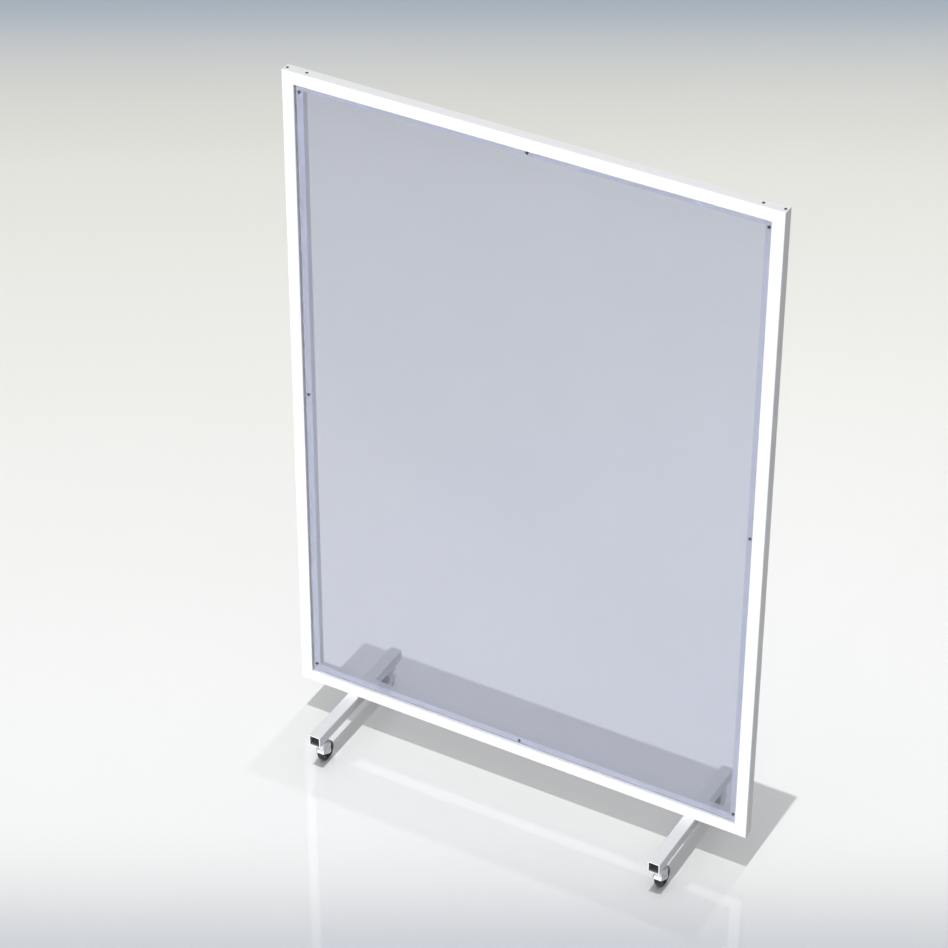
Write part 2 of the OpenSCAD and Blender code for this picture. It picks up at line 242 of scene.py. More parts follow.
def effect_group(
    name: str, inputs: dict[str, float], outputs: Sequence[str]
) -> tuple[NodeSheet, bpy.types.Node, bpy.types.Node, bpy.types.NodeSocket]:
    """Starts a shader node group with named number sockets.

    Args:
        name: The group's name.
        inputs: Socket name to default value.
        outputs: Names of the outputs.

    Returns:
        A sheet that writes in the group, its input and output nodes, and the object coordinates.
    """
    group = bpy.data.node_groups.new(name, "ShaderNodeTree")
    for label, value in inputs.items():
        socket = group.interface.new_socket(label, in_out="INPUT", socket_type="NodeSocketFloat")
        socket.default_value = value
    for label in outputs:
        group.interface.new_socket(label, in_out="OUTPUT", socket_type="NodeSocketFloat")
    sheet = NodeSheet(group)
    entry, leave = sheet.add("NodeGroupInput"), sheet.add("NodeGroupOutput")
    return sheet, entry, leave, sheet.add("ShaderNodeTexCoord").outputs["Object"]


class Effects:
    """The surface effects that several finishes share, each a node group built once."""

    def __init__(self) -> None:
        """Builds the groups."""
        self.grain = self._grain()
        self.wear = self._wear()
        self.dust = self._dust()
        self.brushed = self._brushed()

    def _grain(self) -> bpy.types.NodeTree:
        """Fine texture of a coated or moulded surface, with a slower drift across the piece.

        Returns:
            A group whose outputs are a height and a value that drifts around 0.5.
        """
        sheet, entry, leave, where = effect_group(
            "surface_grain",
            {"Fine Scale": 900.0, "Coarse Scale": 12.0, "Fine Share": 0.7},
            ("Height", "Drift"),
        )
        fine = sheet.noise(where, entry.outputs["Fine Scale"], 3.0, 0.55)
        coarse = sheet.noise(where, entry.outputs["Coarse Scale"], 4.0, 0.6)
        share = entry.outputs["Fine Share"]
        fine_part = sheet.math("MULTIPLY", fine, share)
        coarse_part = sheet.math("MULTIPLY", coarse, sheet.math("SUBTRACT", 1.0, share))
        sheet.wire(sheet.math("ADD", fine_part, coarse_part), leave.inputs["Height"])
        sheet.wire(coarse, leave.inputs["Drift"])
        return sheet.tree

    def _wear(self) -> bpy.types.NodeTree:
        """Wear along convex edges, broken up by noise.

        Returns:
            A group whose output is a mask, 1 where the surface is worn.
        """
        sheet, entry, leave, where = effect_group(
            "edge_wear", {"Start": 0.55, "Full": 0.75, "Break Up": 60.0}, ("Mask",)
        )
        patches = sheet.noise(where, entry.outputs["Break Up"], 5.0, 0.65)
        edge = sheet.add("ShaderNodeNewGeometry").outputs["Pointiness"]
        raised = sheet.ramp(edge, entry.outputs["Start"], entry.outputs["Full"])
        broken = sheet.ramp(patches, 0.42, 0.62)
        sheet.wire(sheet.math("MULTIPLY", raised, broken, clamp=True), leave.inputs["Mask"])
        return sheet.tree

    def _dust(self) -> bpy.types.NodeTree:
        """Light dust on what faces up, and more of it low down near the floor.

        Returns:
            A group whose output is a mask, 1 where dust lies.
        """
        sheet, entry, leave, where = effect_group(
            "settled_dust", {"Amount": 0.3, "Floor Reach": 0.12}, ("Mask",)
        )
        height = sheet.add("ShaderNodeSeparateXYZ")
        sheet.wire(where, height.inputs[0])
        low = sheet.ramp(height.outputs["Z"], 0.0, entry.outputs["Floor Reach"], 1.0, 0.0)
        facing = sheet.add("ShaderNodeSeparateXYZ")
        sheet.wire(sheet.add("ShaderNodeNewGeometry").outputs["Normal"], facing.inputs[0])
        upward = sheet.ramp(facing.outputs["Z"], 0.55, 1.0)
        spots = sheet.ramp(sheet.noise(where, 45.0, 6.0, 0.7), 0.38, 0.72)
        place = sheet.math("MAXIMUM", upward, low)
        amount = sheet.math("MULTIPLY", entry.outputs["Amount"], sheet.math("MULTIPLY", place, spots))
        sheet.wire(sheet.math("MINIMUM", amount, 1.0), leave.inputs["Mask"])
        return sheet.tree

    def _brushed(self) -> bpy.types.NodeTree:
        """Fine drawn lines along one axis, as rolled or turned metal has.

        Returns:
            A group whose output is a height.
        """
        sheet, entry, leave, where = effect_group(
            "drawn_lines", {"Across": 1500.0, "Along": 30.0}, ("Height",)
        )
        stretch = sheet.add("ShaderNodeCombineXYZ")
        for label, axis in (("Across", "X"), ("Along", "Y"), ("Across", "Z")):
            sheet.wire(entry.outputs[label], stretch.inputs[axis])
        scaled = sheet.add("ShaderNodeVectorMath", operation="MULTIPLY")
        sheet.wire(where, scaled.inputs[0])
        sheet.wire(stretch.outputs[0], scaled.inputs[1])
        sheet.wire(sheet.noise(scaled.outputs[0], 1.0, 3.0, 0.6), leave.inputs["Height"])
        return sheet.tree


EFFECTS = Effects()


# ---------------------------------------------------------------- finishes


class Finish:
    """Base of every finish: makes its material once and lays it on objects."""

    name: str = "finish"

    def build(self, sheet: NodeSheet, shader: bpy.types.Node) -> None:
        """Wires the finish's detail into the Principled shader."""
        raise NotImplementedError

    def material(self) -> bpy.types.Material:
        """The finish's material, made on first use.

        Returns:
            A node material with one Principled shader.
        """
        known = bpy.data.materials.get(self.name)
        if known is not None:
            return known
        made = bpy.data.materials.new(self.name)
        made.use_nodes = True
        made.node_tree.nodes.clear()
        sheet = NodeSheet(made.node_tree)
        shader = sheet.add("ShaderNodeBsdfPrincipled")
        output = sheet.add("ShaderNodeOutputMaterial")
        sheet.wire(shader.outputs[0], output.inputs["Surface"])
        self.build(sheet, shader)
        return made

    def lay_on(self, piece: bpy.types.Object) -> None:
        """Makes this finish the only material of a piece."""
        piece.data.materials.clear()
        piece.data.materials.append(self.material())

    @staticmethod
    def use(sheet: NodeSheet, group: bpy.types.NodeTree, **values: float) -> bpy.types.Node:
        """Places an effect group in a material.

        Args:
            sheet: The material's sheet.
            group: The effect's node group.
            **values: Input values, with underscores for the spaces in socket names.

        Returns:
            The group node.
        """
        node = sheet.add("ShaderNodeGroup", node_tree=group)
        for key, value in values.items():
            node.inputs[key.replace("_", " ")].default_value = value
        return node

    @staticmethod
    def relief(
        sheet: NodeSheet, height: object, shader: bpy.types.Node, depth: float, strength: float
    ) -> None:
        """Turns a height into a bump on the shader.

        Args:
            sheet: The material's sheet.
            height: Height socket, 0 to 1.
            shader: The Principled shader.
            depth: Real depth of the relief, in metres.
            strength: How strongly the bump shows.
        """
        bump = sheet.add("ShaderNodeBump")
        bump.inputs["Distance"].default_value = depth
        bump.inputs["Strength"].default_value = strength
        sheet.wire(height, bump.inputs["Height"])
        sheet.wire(bump.outputs[0], shader.inputs["Normal"])

    @staticmethod
    def roughen(
        sheet: NodeSheet, rough: object, dust: bpy.types.Node, share: float, shader: bpy.types.Node
    ) -> None:
        """Sets the shader's roughness, raised where dust lies.

        Args:
            sheet: The material's sheet.
            rough: Roughness of the clean surface.
            dust: The dust group's node.
            share: How much full dust adds.
            shader: The Principled shader.
        """
        added = sheet.math("MULTIPLY", dust.outputs["Mask"], share)
        sheet.wire(sheet.math("ADD", rough, added, clamp=True), shader.inputs["Roughness"])


@dataclass(frozen=True)
class PowderCoat(Finish):
    """Satin white powder coat: a slight orange-peel skin, faint scuffs low down, a trace of dust.

    Attributes:
        name: Material name.
        colour: Colour of the coat.
        shade: Colour that the coat drifts to.
        gloss: Roughness of clean coat.
        dust: Amount of dust.
        worn: Colour where edges are rubbed.
        dirt: Colour of the dust.
    """

    name: str = "white_powder_coat"
    colour: Colour = (0.80, 0.805, 0.82)
    shade: Colour = (0.76, 0.77, 0.79)
    gloss: float = 0.34
    dust: float = 0.12
    worn: Colour = (0.70, 0.71, 0.73)
    dirt: Colour = (0.60, 0.58, 0.55)

    def build(self, sheet: NodeSheet, shader: bpy.types.Node) -> None:
        """Wires orange peel, drift, dust and edge wear."""
        grain = self.use(sheet, EFFECTS.grain, Fine_Scale=750.0, Coarse_Scale=5.0, Fine_Share=0.85)
        wear = self.use(sheet, EFFECTS.wear, Start=0.56, Full=0.7, Break_Up=40.0)
        dust = self.use(sheet, EFFECTS.dust, Amount=self.dust, Floor_Reach=0.14)
        drift = sheet.ramp(grain.outputs["Drift"], 0.35, 0.7, 0.0, 0.35)
        coat = sheet.mix(drift, self.colour, self.shade)
        rubbed = sheet.mix(sheet.math("MULTIPLY", wear.outputs["Mask"], 0.35), coat, self.worn)
        dusty = sheet.mix(dust.outputs["Mask"], rubbed, self.dirt)
        sheet.wire(dusty, shader.inputs["Base Color"])
        rough = sheet.ramp(grain.outputs["Drift"], 0.3, 0.7, self.gloss - 0.05, self.gloss + 0.08)
        self.roughen(sheet, rough, dust, 0.4, shader)
        self.relief(sheet, grain.outputs["Height"], shader, 0.00012, 0.35)


@dataclass(frozen=True)
class ClearSheet(Finish):
    """Clear cast sheet with a blue-grey tint and a slight milkiness: polished faces, very light wipe marks.

    Attributes:
        name: Material name.
        tint: Colour that light keeps after one pass through the sheet.
        clarity: Share of the light that goes straight through; the rest is scattered by the tint.
        shadow: Colour of the light that falls through the sheet.
        ior: Refractive index of cast acrylic.
    """

    name: str = "clear_tinted_sheet"
    tint: Colour = (0.640, 0.661, 0.750)
    clarity: float = 0.838
    shadow: Colour = (0.10, 0.10, 0.11)
    ior: float = 1.49

    def build(self, sheet: NodeSheet, shader: bpy.types.Node) -> None:
        """Wires the tint and wipe marks, and lets tinted light through to what stands behind."""
        grain = self.use(sheet, EFFECTS.grain, Fine_Scale=220.0, Coarse_Scale=3.0, Fine_Share=0.3)
        shader.inputs["Transmission Weight"].default_value = self.clarity
        shader.inputs["IOR"].default_value = self.ior
        deep = tuple(c * 0.96 for c in self.tint)
        sheet.wire(sheet.mix(grain.outputs["Drift"], self.tint, deep), shader.inputs["Base Color"])
        sheet.wire(sheet.ramp(grain.outputs["Height"], 0.45, 0.75, 0.0, 0.03), shader.inputs["Roughness"])
        through = sheet.add("ShaderNodeBsdfTransparent")
        through.inputs["Color"].default_value = (*self.shadow, 1.0)
        chooser = sheet.add("ShaderNodeMixShader")
        sheet.wire(sheet.add("ShaderNodeLightPath").outputs["Is Shadow Ray"], chooser.inputs[0])
        sheet.wire(shader.outputs[0], chooser.inputs[1])
        sheet.wire(through.outputs[0], chooser.inputs[2])
        output = next(n for n in sheet.tree.nodes if n.type == "OUTPUT_MATERIAL")
        sheet.wire(chooser.outputs[0], output.inputs["Surface"])


@dataclass(frozen=True)
class PlatedSteel(Finish):
    """Bright plated steel, from pressed caster parts to screws and nuts.

    Attributes:
        name: Material name.
        colour: Colour of the plating.
        stain: Colour in duller patches.
        gloss: Roughness of clean plating.
        lines: Depth of the drawn lines, in metres.
        dust: Amount of dust.
        dirt: Colour of the dust.
    """

    name: str = "bright_zinc_plate"
    colour: Colour = (0.80, 0.81, 0.83)
    stain: Colour = (0.60, 0.61, 0.64)
    gloss: float = 0.22
    lines: float = 0.00002
    dust: float = 0.12
    dirt: Colour = (0.42, 0.41, 0.39)

    def build(self, sheet: NodeSheet, shader: bpy.types.Node) -> None:
        """Wires the dull patches, the drawn lines and the dust."""
        shader.inputs["Metallic"].default_value = 1.0
        grain = self.use(sheet, EFFECTS.grain, Fine_Scale=400.0, Coarse_Scale=70.0, Fine_Share=0.4)
        drawn = self.use(sheet, EFFECTS.brushed, Across=1800.0, Along=60.0)
        dust = self.use(sheet, EFFECTS.dust, Amount=self.dust, Floor_Reach=0.07)
        patches = sheet.ramp(grain.outputs["Drift"], 0.38, 0.72, 0.0, 0.7)
        plate = sheet.mix(patches, self.colour, self.stain)
        sheet.wire(sheet.mix(dust.outputs["Mask"], plate, self.dirt), shader.inputs["Base Color"])
        rough = sheet.ramp(grain.outputs["Height"], 0.3, 0.7, self.gloss * 0.8, self.gloss * 1.5)
        self.roughen(sheet, rough, dust, 0.5, shader)
        self.relief(sheet, drawn.outputs["Height"], shader, self.lines, 0.5)


@dataclass(frozen=True)
class BlackedSteel(Finish):
    """Black-coated steel screw with the coat rubbed off its edges.

    Attributes:
        name: Material name.
        colour: Colour of the coat.
        bare: Colour where the coat is rubbed off.
    """

    name: str = "black_coated_steel"
    colour: Colour = (0.018, 0.018, 0.02)
    bare: Colour = (0.30, 0.30, 0.31)

    def build(self, sheet: NodeSheet, shader: bpy.types.Node) -> None:
        """Wires the rubbed edges and the coat's fine grain."""
        grain = self.use(sheet, EFFECTS.grain, Fine_Scale=2500.0, Coarse_Scale=300.0, Fine_Share=0.6)
        wear = self.use(sheet, EFFECTS.wear, Start=0.56, Full=0.68, Break_Up=500.0)
        rub = sheet.math("MULTIPLY", wear.outputs["Mask"], 0.5)
        sheet.wire(sheet.mix(rub, self.colour, self.bare), shader.inputs["Base Color"])
        sheet.wire(sheet.ramp(grain.outputs["Height"], 0.3, 0.7, 0.30, 0.48), shader.inputs["Roughness"])
        self.relief(sheet, grain.outputs["Height"], shader, 0.00003, 0.4)


@dataclass(frozen=True)
class Rubber(Finish):
    """Black rubber tread with a dusty, scuffed running face.

    Attributes:
        name: Material name.
        colour: Colour of clean rubber.
        scuff: Colour of the scuffs.
        dirt: Colour of the dust.
    """

    name: str = "black_tyre_rubber"
    colour: Colour = (0.011, 0.011, 0.012)
    scuff: Colour = (0.06, 0.058, 0.056)
    dirt: Colour = (0.20, 0.19, 0.18)

    def build(self, sheet: NodeSheet, shader: bpy.types.Node) -> None:
        """Wires the scuffs, the dust and the moulded grain."""
        grain = self.use(sheet, EFFECTS.grain, Fine_Scale=1800.0, Coarse_Scale=130.0, Fine_Share=0.6)
        dust = self.use(sheet, EFFECTS.dust, Amount=0.08, Floor_Reach=0.05)
        scuffs = sheet.ramp(grain.outputs["Drift"], 0.52, 0.72, 0.0, 0.45)
        worn = sheet.mix(scuffs, self.colour, self.scuff)
        sheet.wire(sheet.mix(dust.outputs["Mask"], worn, self.dirt), shader.inputs["Base Color"])
        sheet.wire(sheet.ramp(grain.outputs["Height"], 0.3, 0.7, 0.32, 0.50), shader.inputs["Roughness"])
        self.relief(sheet, grain.outputs["Height"], shader, 0.00005, 0.5)


@dataclass(frozen=True)
class Moulded(Finish):
    """Moulded plastic or cast metal with an even, fine grain.

    Attributes:
        name: Material name.
        colour: Main colour.
        shade: Colour in the mottled patches.
        gloss: Mean roughness.
        metal: 1 for cast metal, 0 for plastic.
        depth: Depth of the grain, in metres.
    """

    name: str = "moulded_black_plastic"
    colour: Colour = (0.022, 0.022, 0.024)
    shade: Colour = (0.035, 0.035, 0.037)
    gloss: float = 0.42
    metal: float = 0.0
    depth: float = 0.00005

    def build(self, sheet: NodeSheet, shader: bpy.types.Node) -> None:
        """Wires the mottling, the gloss drift and the grain."""
        shader.inputs["Metallic"].default_value = self.metal
        grain = self.use(sheet, EFFECTS.grain, Fine_Scale=1300.0, Coarse_Scale=160.0, Fine_Share=0.7)
        mottle = sheet.ramp(grain.outputs["Drift"], 0.35, 0.7)
        sheet.wire(sheet.mix(mottle, self.colour, self.shade), shader.inputs["Base Color"])
        rough = sheet.ramp(grain.outputs["Height"], 0.3, 0.7, self.gloss - 0.08, self.gloss + 0.12)
        sheet.wire(rough, shader.inputs["Roughness"])
        self.relief(sheet, grain.outputs["Height"], shader, self.depth, 0.5)


@dataclass(frozen=True)
class StudioFloor(Finish):
    """Pale, glossy studio floor whose colour falls off to a cooler grey near and far, painted shade that
    stands for the light falling off.

    Attributes:
        name: Material name.
        colour_and_shade_bands: Distance behind the wall along the line of sight, in metres, and the floor's
            colour there; the darker, cooler bands near and far are painted shade.
        bounce: Share of its light that the floor throws back onto the wall.
        sight: Direction of the line of sight along the floor.
        gloss: Roughness of the floor.
    """

    name: str = "pale_floor"
    # Painted shade: the darker, cooler bands at both ends stand for the light falling off across the floor.
    colour_and_shade_bands: tuple[tuple[float, Colour], ...] = (
        (-0.80, (0.55, 0.58, 0.63)),
        (-0.62, (0.66, 0.67, 0.69)),
        (-0.44, (0.84, 0.84, 0.83)),
        (-0.20, (0.93, 0.93, 0.92)),
        (0.60, (0.95, 0.95, 0.94)),
        (2.20, (0.89, 0.89, 0.84)),
        (3.60, (0.81, 0.81, 0.75)),
        (4.15, (0.73, 0.72, 0.67)),
        (4.60, (0.60, 0.62, 0.62)),
        (5.05, (0.34, 0.41, 0.49)),
    )
    bounce: float = 0.65
    sight: tuple[float, float, float] = (-0.488, 0.873, 0.0)
    gloss: float = 0.03

    def build(self, sheet: NodeSheet, shader: bpy.types.Node) -> None:
        """Wires the bands of colour with their painted shade near and far, a very slight drift, and the
        softer bounce.
        """
        grain = self.use(sheet, EFFECTS.grain, Fine_Scale=40.0, Coarse_Scale=0.6, Fine_Share=0.2)
        along = sheet.add("ShaderNodeVectorMath", operation="DOT_PRODUCT")
        sheet.wire(sheet.add("ShaderNodeTexCoord").outputs["Object"], along.inputs[0])
        along.inputs[1].default_value = self.sight
        first, last = self.colour_and_shade_bands[0][0], self.colour_and_shade_bands[-1][0]
        past = sheet.math("SUBTRACT", along.outputs["Value"], first)
        place = sheet.math("DIVIDE", past, last - first, clamp=True)
        # This colour ramp carries the painted shade at its darker ends.
        ramp = sheet.add("ShaderNodeValToRGB")
        sheet.wire(place, ramp.inputs[0])
        ramp.color_ramp.interpolation = "B_SPLINE"
        ramp.color_ramp.elements.remove(ramp.color_ramp.elements[1])
        for i, (spot, colour) in enumerate(self.colour_and_shade_bands):
            where = (spot - first) / (last - first)
            stop = ramp.color_ramp.elements[i] if i < 1 else ramp.color_ramp.elements.new(where)
            stop.position, stop.color = where, (*colour, 1.0)
        drift = sheet.ramp(grain.outputs["Drift"], 0.3, 0.7, 1.0, 0.99)
        pale = sheet.mix(1.0, ramp.outputs["Color"], drift, "MULTIPLY")
        scattered = sheet.add("ShaderNodeLightPath").outputs["Is Diffuse Ray"]
        dim = sheet.mix(1.0, pale, (self.bounce,) * 3, "MULTIPLY")
        sheet.wire(sheet.mix(scattered, pale, dim), shader.inputs["Base Color"])
        shader.inputs["Roughness"].default_value = self.gloss
        shader.inputs["Specular IOR Level"].default_value = 1.0


PAINT = PowderCoat()
SHEET = ClearSheet()
ZINC = PlatedSteel()
CASTER_PLATE = PlatedSteel("caster_bright_plate", (0.62, 0.64, 0.67), (0.54, 0.56, 0.59), 0.46, 0.00001, 0.06)
BALL_STEEL = PlatedSteel("polished_ball_steel", (0.75, 0.75, 0.77), (0.62, 0.62, 0.64), 0.10, 0.000005, 0.0)
BLACK = BlackedSteel()
RUBBER = Rubber()
MILL_STEEL = Moulded("dark_mill_steel", (0.42, 0.42, 0.43), (0.32, 0.31, 0.30), 0.8, 0.0, 0.00012)
HUB_PLASTIC = Moulded()
ACETAL = Moulded("grey_acetal", (0.50, 0.50, 0.48), (0.44, 0.44, 0.42), 0.35, 0.0, 0.00002)
CASTING = Moulded("cast_aluminium", (0.58, 0.58, 0.60), (0.48, 0.48, 0.50), 0.50, 1.0, 0.00015)
FLOOR = StudioFloor()


# ---------------------------------------------------------------- mesh building


@dataclass(frozen=True)
class Ring:
    """One ring of a turned piece.

    Attributes:
        r: Radius of the ring.
        z: Height of the ring along the piece's axis.
        half_flats: Half the distance across the flats where the ring is six-sided, or None where it is round.
    """

    r: float
    z: float
    half_flats: float | None = None

    def radius(self, angle: float) -> float:
        """The ring's radius at an angle: the round one, cut back to the flats."""
        if self.half_flats is None:
            return self.r
        turn = (angle + math.pi / 6) % (math.pi / 3) - math.pi / 6
        return min(self.r, self.half_flats / math.cos(turn))


def quarter(steps: int, first: int = 0) -> list[float]:
    """Angles from 0 to a right angle in even steps, from the first step wanted on."""
    return [math.pi / 2 * k / steps for k in range(first, steps + 1)]


def circle(segments: int) -> list[float]:
    """Angles once round in even steps."""
    return [2 * math.pi * k / segments for k in range(segments)]


def mirrored(half: Profile) -> list[tuple[float, float]]:
    """The other half of a profile that is the same on both sides."""
    return [(a, -b) for a, b in reversed(half)]


def rings_of(profile: Profile) -> list[Ring]:
    """Round rings through a profile's points, each a radius and a height."""
    return [Ring(r, z) for r, z in profile]


class MeshKit:
    """Mesh code that the pieces share."""

    @staticmethod
    def filleted(points: Profile, radius: float, steps: int) -> list[tuple[float, float]]:
        """Rounds the corners of a closed profile.

        Args:
            points: The profile's corners in order.
            radius: Fillet radius, made smaller where an edge is too short for it.
            steps: Points in each rounded corner, less one.

        Returns:
            The rounded profile.
        """
        done: list[tuple[float, float]] = []
        count = len(points)
        for i, corner in enumerate(points):
            here = Vector(corner)
            back, ahead = Vector(points[i - 1]) - here, Vector(points[(i + 1) % count]) - here
            reach = min(radius, back.length * 0.45, ahead.length * 0.45)
            start, end = here + back.normalized() * reach, here + ahead.normalized() * reach
            for step in range(steps + 1):
                t = step / steps
                spot = start.lerp(here, t).lerp(here.lerp(end, t), t)
                done.append((spot.x, spot.y))
        return done

    @staticmethod
    def loft(
        bm: bmesh.types.BMesh,
        loops: Sequence[Sequence[Vector]],
        closed: bool,
        place: Matrix = Matrix.Identity(4),
    ) -> None:
        """Skins a row of loops, each with the same number of points.

        Args:
            bm: The mesh to add to.
            loops: Loops of points, in order.
            closed: True when the last loop joins the first; otherwise both ends get a face.
            place: Where the skin goes.
        """
        rows = [[bm.verts.new(place @ p) for p in loop] for loop in loops]
        pairs = list(zip(rows, rows[1:])) + ([(rows[-1], rows[0])] if closed else [])
        for lower, upper in pairs:
            for i in range(len(lower)):
                j = (i + 1) % len(lower)
                bm.faces.new((lower[i], lower[j], upper[j], upper[i]))
        if not closed:
            bm.faces.new(reversed(rows[0]))
            bm.faces.new(rows[-1])

    @classmethod
    def turned(
        cls, bm: bmesh.types.BMesh, rings: Sequence[Ring], place: Matrix, segments: int, closed: bool = False
    ) -> None:
        """Adds a turned piece about its own Z axis.

        Args:
            bm: The mesh to add to.
            rings: The rings in order, from the bottom up or round a closed section.
            place: Where the piece goes.
            segments: Points in each ring.
            closed: True for a closed section, such as a tyre's.
        """
        angles = circle(segments)
        loops = [
            [Vector((ring.radius(a) * math.cos(a), ring.radius(a) * math.sin(a), ring.z)) for a in angles]
            for ring in rings
        ]
        cls.loft(bm, loops, closed, place)

    @staticmethod
    def piece(name: str, bm: bmesh.types.BMesh, outward: bool = True) -> bpy.types.Object:
        """Turns a mesh under construction into a smooth-shaded object with sharp creases kept.

        Args:
            name: Name of the object and its mesh.
            bm: The mesh, which is freed.
            outward: True to make all faces look outward.

        Returns:
            The new object.
        """
        bmesh.ops.remove_doubles(bm, verts=bm.verts, dist=WELD)
        bmesh.ops.dissolve_degenerate(bm, edges=bm.edges, dist=WELD)
        if outward:
            bmesh.ops.recalc_face_normals(bm, faces=bm.faces)
        limit = math.radians(SHARP_DEG)
        for face in bm.faces:
            face.smooth = True
        for edge in bm.edges:
            edge.smooth = edge.calc_face_angle(0.0) < limit
        mesh = bpy.data.meshes.new(name)
        bm.to_mesh(mesh)
        bm.free()
        made = bpy.data.objects.new(name, mesh)
        bpy.context.scene.collection.objects.link(made)
        return made


def settle(piece: bpy.types.Object, finish: Finish, body: str, nodes: Sequence[str]) -> None:
    """Dresses a new piece, puts it on its body and lets it stand for its CAD nodes.

    Args:
        piece: The new piece.
        finish: Its finish.
        body: The CAD body that it rides on.
        nodes: The CAD nodes that it stands for.
    """
    finish.lay_on(piece)
    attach(piece, body)
    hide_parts(*nodes)
    log.info("%s: %d faces, on %s", piece.name, len(piece.data.polygons), body)


def joint_spot(name: str) -> Vector:
    """Where a joint's axis passes.

    Args:
        name: The joint's name.

    Returns:
        The joint's position.
    """
    return Vector(next(j["pos_m"] for j in frame["joints"] if j["name"] == name))


def settle_at(
    corner: Corner, part: str, kind: str, bm: bmesh.types.BMesh, finish: Finish, body: str
) -> None:
    """Settles a caster piece, drawn about the origin, at its corner with its wheel turned inwards.

    Args:
        corner: The corner.
        part: The piece's part of its CAD node's name.
        kind: The end of the new piece's name.
        bm: The mesh, which is freed.
        finish: Its finish.
        body: The CAD body that it rides on.
    """
    piece = MeshKit.piece(f"{corner.node(part)}_{kind}", bm)
    axis = joint_spot(f"swivel_{corner.name}")
    turn = Matrix.Rotation(math.pi if corner.is_rear else 0.0, 4, "Z")
    piece.data.transform(Matrix.Translation((axis.x, axis.y, 0.0)) @ turn)
    piece.data.update()
    settle(piece, finish, body, [corner.node(part)])


# ---------------------------------------------------------------- tubes


@dataclass
class SquareTube:
    """A straight square tube with rounded edges, a real bore and dressed ends.

    Attributes:
        node: The CAD node that it stands for.
        along: Index of the axis that the tube runs along.
        outer: Direction from the tube to the face that keeps the full length when the ends are mitred.
        ends: How both ends are cut.
        wall: Wall thickness.
        corner: Outside corner radius.
        chamfer: Size of the small chamfer round each end.
        slot: Name of a material slot in the record; not used.
        guard: From each rounded corner to the extra points that keep the flats flat.
        guards: From each end to the extra loops that keep the flats flat.
        plain: From each end to the evenly spaced loops.
        spans: Number of even spans between them.
        bore_depth: From each end to the inner loops of the bore.
    """

    node: str
    along: int
    outer: Vector = field(default_factory=lambda: Vector((0, 0, 1)))
    ends: End = End.SQUARE
    wall: float = 0.002
    corner: float = 0.003
    chamfer: float = 0.00035
    slot: str = "frame_paint"
    guard: float = 0.0012
    guards: tuple[float, ...] = (0.002, 0.01, 0.05)
    plain: float = 0.12
    spans: int = 14
    bore_depth: float = 0.01

    def section(self, half_u: float, half_v: float, radius: float) -> list[tuple[float, float]]:
        """A rounded rectangle with extra points beside its corners.

        Args:
            half_u: Half its size along the first direction.
            half_v: Half its size along the second direction.
            radius: Corner radius.

        Returns:
            Points in order, the same number for every section.
        """
        points: list[tuple[float, float]] = []
        for side, (su, sv) in enumerate(((1, 1), (-1, 1), (-1, -1), (1, -1))):
            turn = side * math.pi / 2
            cu, cv = su * (half_u - radius), sv * (half_v - radius)
            arc = [turn + a for a in quarter(6)]
            rim = [(cu + radius * math.cos(a), cv + radius * math.sin(a)) for a in arc]
            reach_u, reach_v = self.guard * math.cos(turn), self.guard * math.sin(turn)
            before = (rim[0][0] + reach_v, rim[0][1] - reach_u)
            after = (rim[-1][0] - reach_u, rim[-1][1] - reach_v)
            middle = (after[0], 0.0) if side % 2 else (0.0, after[1])
            points += [before, *rim, after, middle]
        return points

    def build(self) -> None:
        """Builds the tube in its CAD node's box."""
        low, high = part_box(self.node)
        centre = (low + high) / 2
        half = (high - low) / 2
        axis = Vector([float(i == self.along) for i in range(3)])
        outer = self.outer
        side = axis.cross(outer)
        half_u = abs(half.dot(Vector([abs(c) for c in outer])))
        half_v = abs(half.dot(Vector([abs(c) for c in side])))
        length = half[self.along]
        inset, deep = self.chamfer, self.bore_depth
        inside = max(self.corner - self.wall, 0.0005)
        shapes = {
            "full": self.section(half_u, half_v, self.corner),
            "dressed": self.section(half_u - inset, half_v - inset, self.corner - inset * 0.7),
            "bore": self.section(half_u - self.wall, half_v - self.wall, inside),
        }

        def loop(shape: str, back: float, end: int) -> list[Vector]:
            """One loop of the tube, set back from an end.

            Args:
                shape: Name of the section.
                back: How far it is set back.
                end: Which end, -1 or 1.

            Returns:
                The loop's points.
            """
            spots = []
            for u, v in shapes[shape]:
                cut = (half_u - u) if self.ends is End.MITRE else 0.0
                spots.append(centre + outer * u + side * v + axis * end * (length - cut - back))
            return spots

        backs = [inset, *self.guards]
        between = [2 * (length - self.plain) * k / self.spans for k in range(1, self.spans)]
        span = [loop("full", b, -1) for b in backs]
        span += [loop("full", self.plain + b, -1) for b in between]
        span += [loop("full", b, 1) for b in reversed(backs)]
        loops = [loop("dressed", 0.0, -1), *span, loop("dressed", 0.0, 1)]
        bore = [loop("bore", b, end) for b, end in ((0.0, 1), (deep, 1), (deep, -1), (0.0, -1))]
        loops += bore
        bm = bmesh.new()
        MeshKit.loft(bm, loops, closed=True)
        tube = MeshKit.piece(f"{self.node}_tube", bm)
        settle(tube, PAINT, Body.WALL.value, [self.node])
        tube.data.materials.append(MILL_STEEL.material())
        around = len(loops[0])
        bore_start = (len(loops) - len(bore)) * around
        for face in tube.data.polygons[bore_start : bore_start + (len(bore) - 1) * around]:
            face.material_index = 1


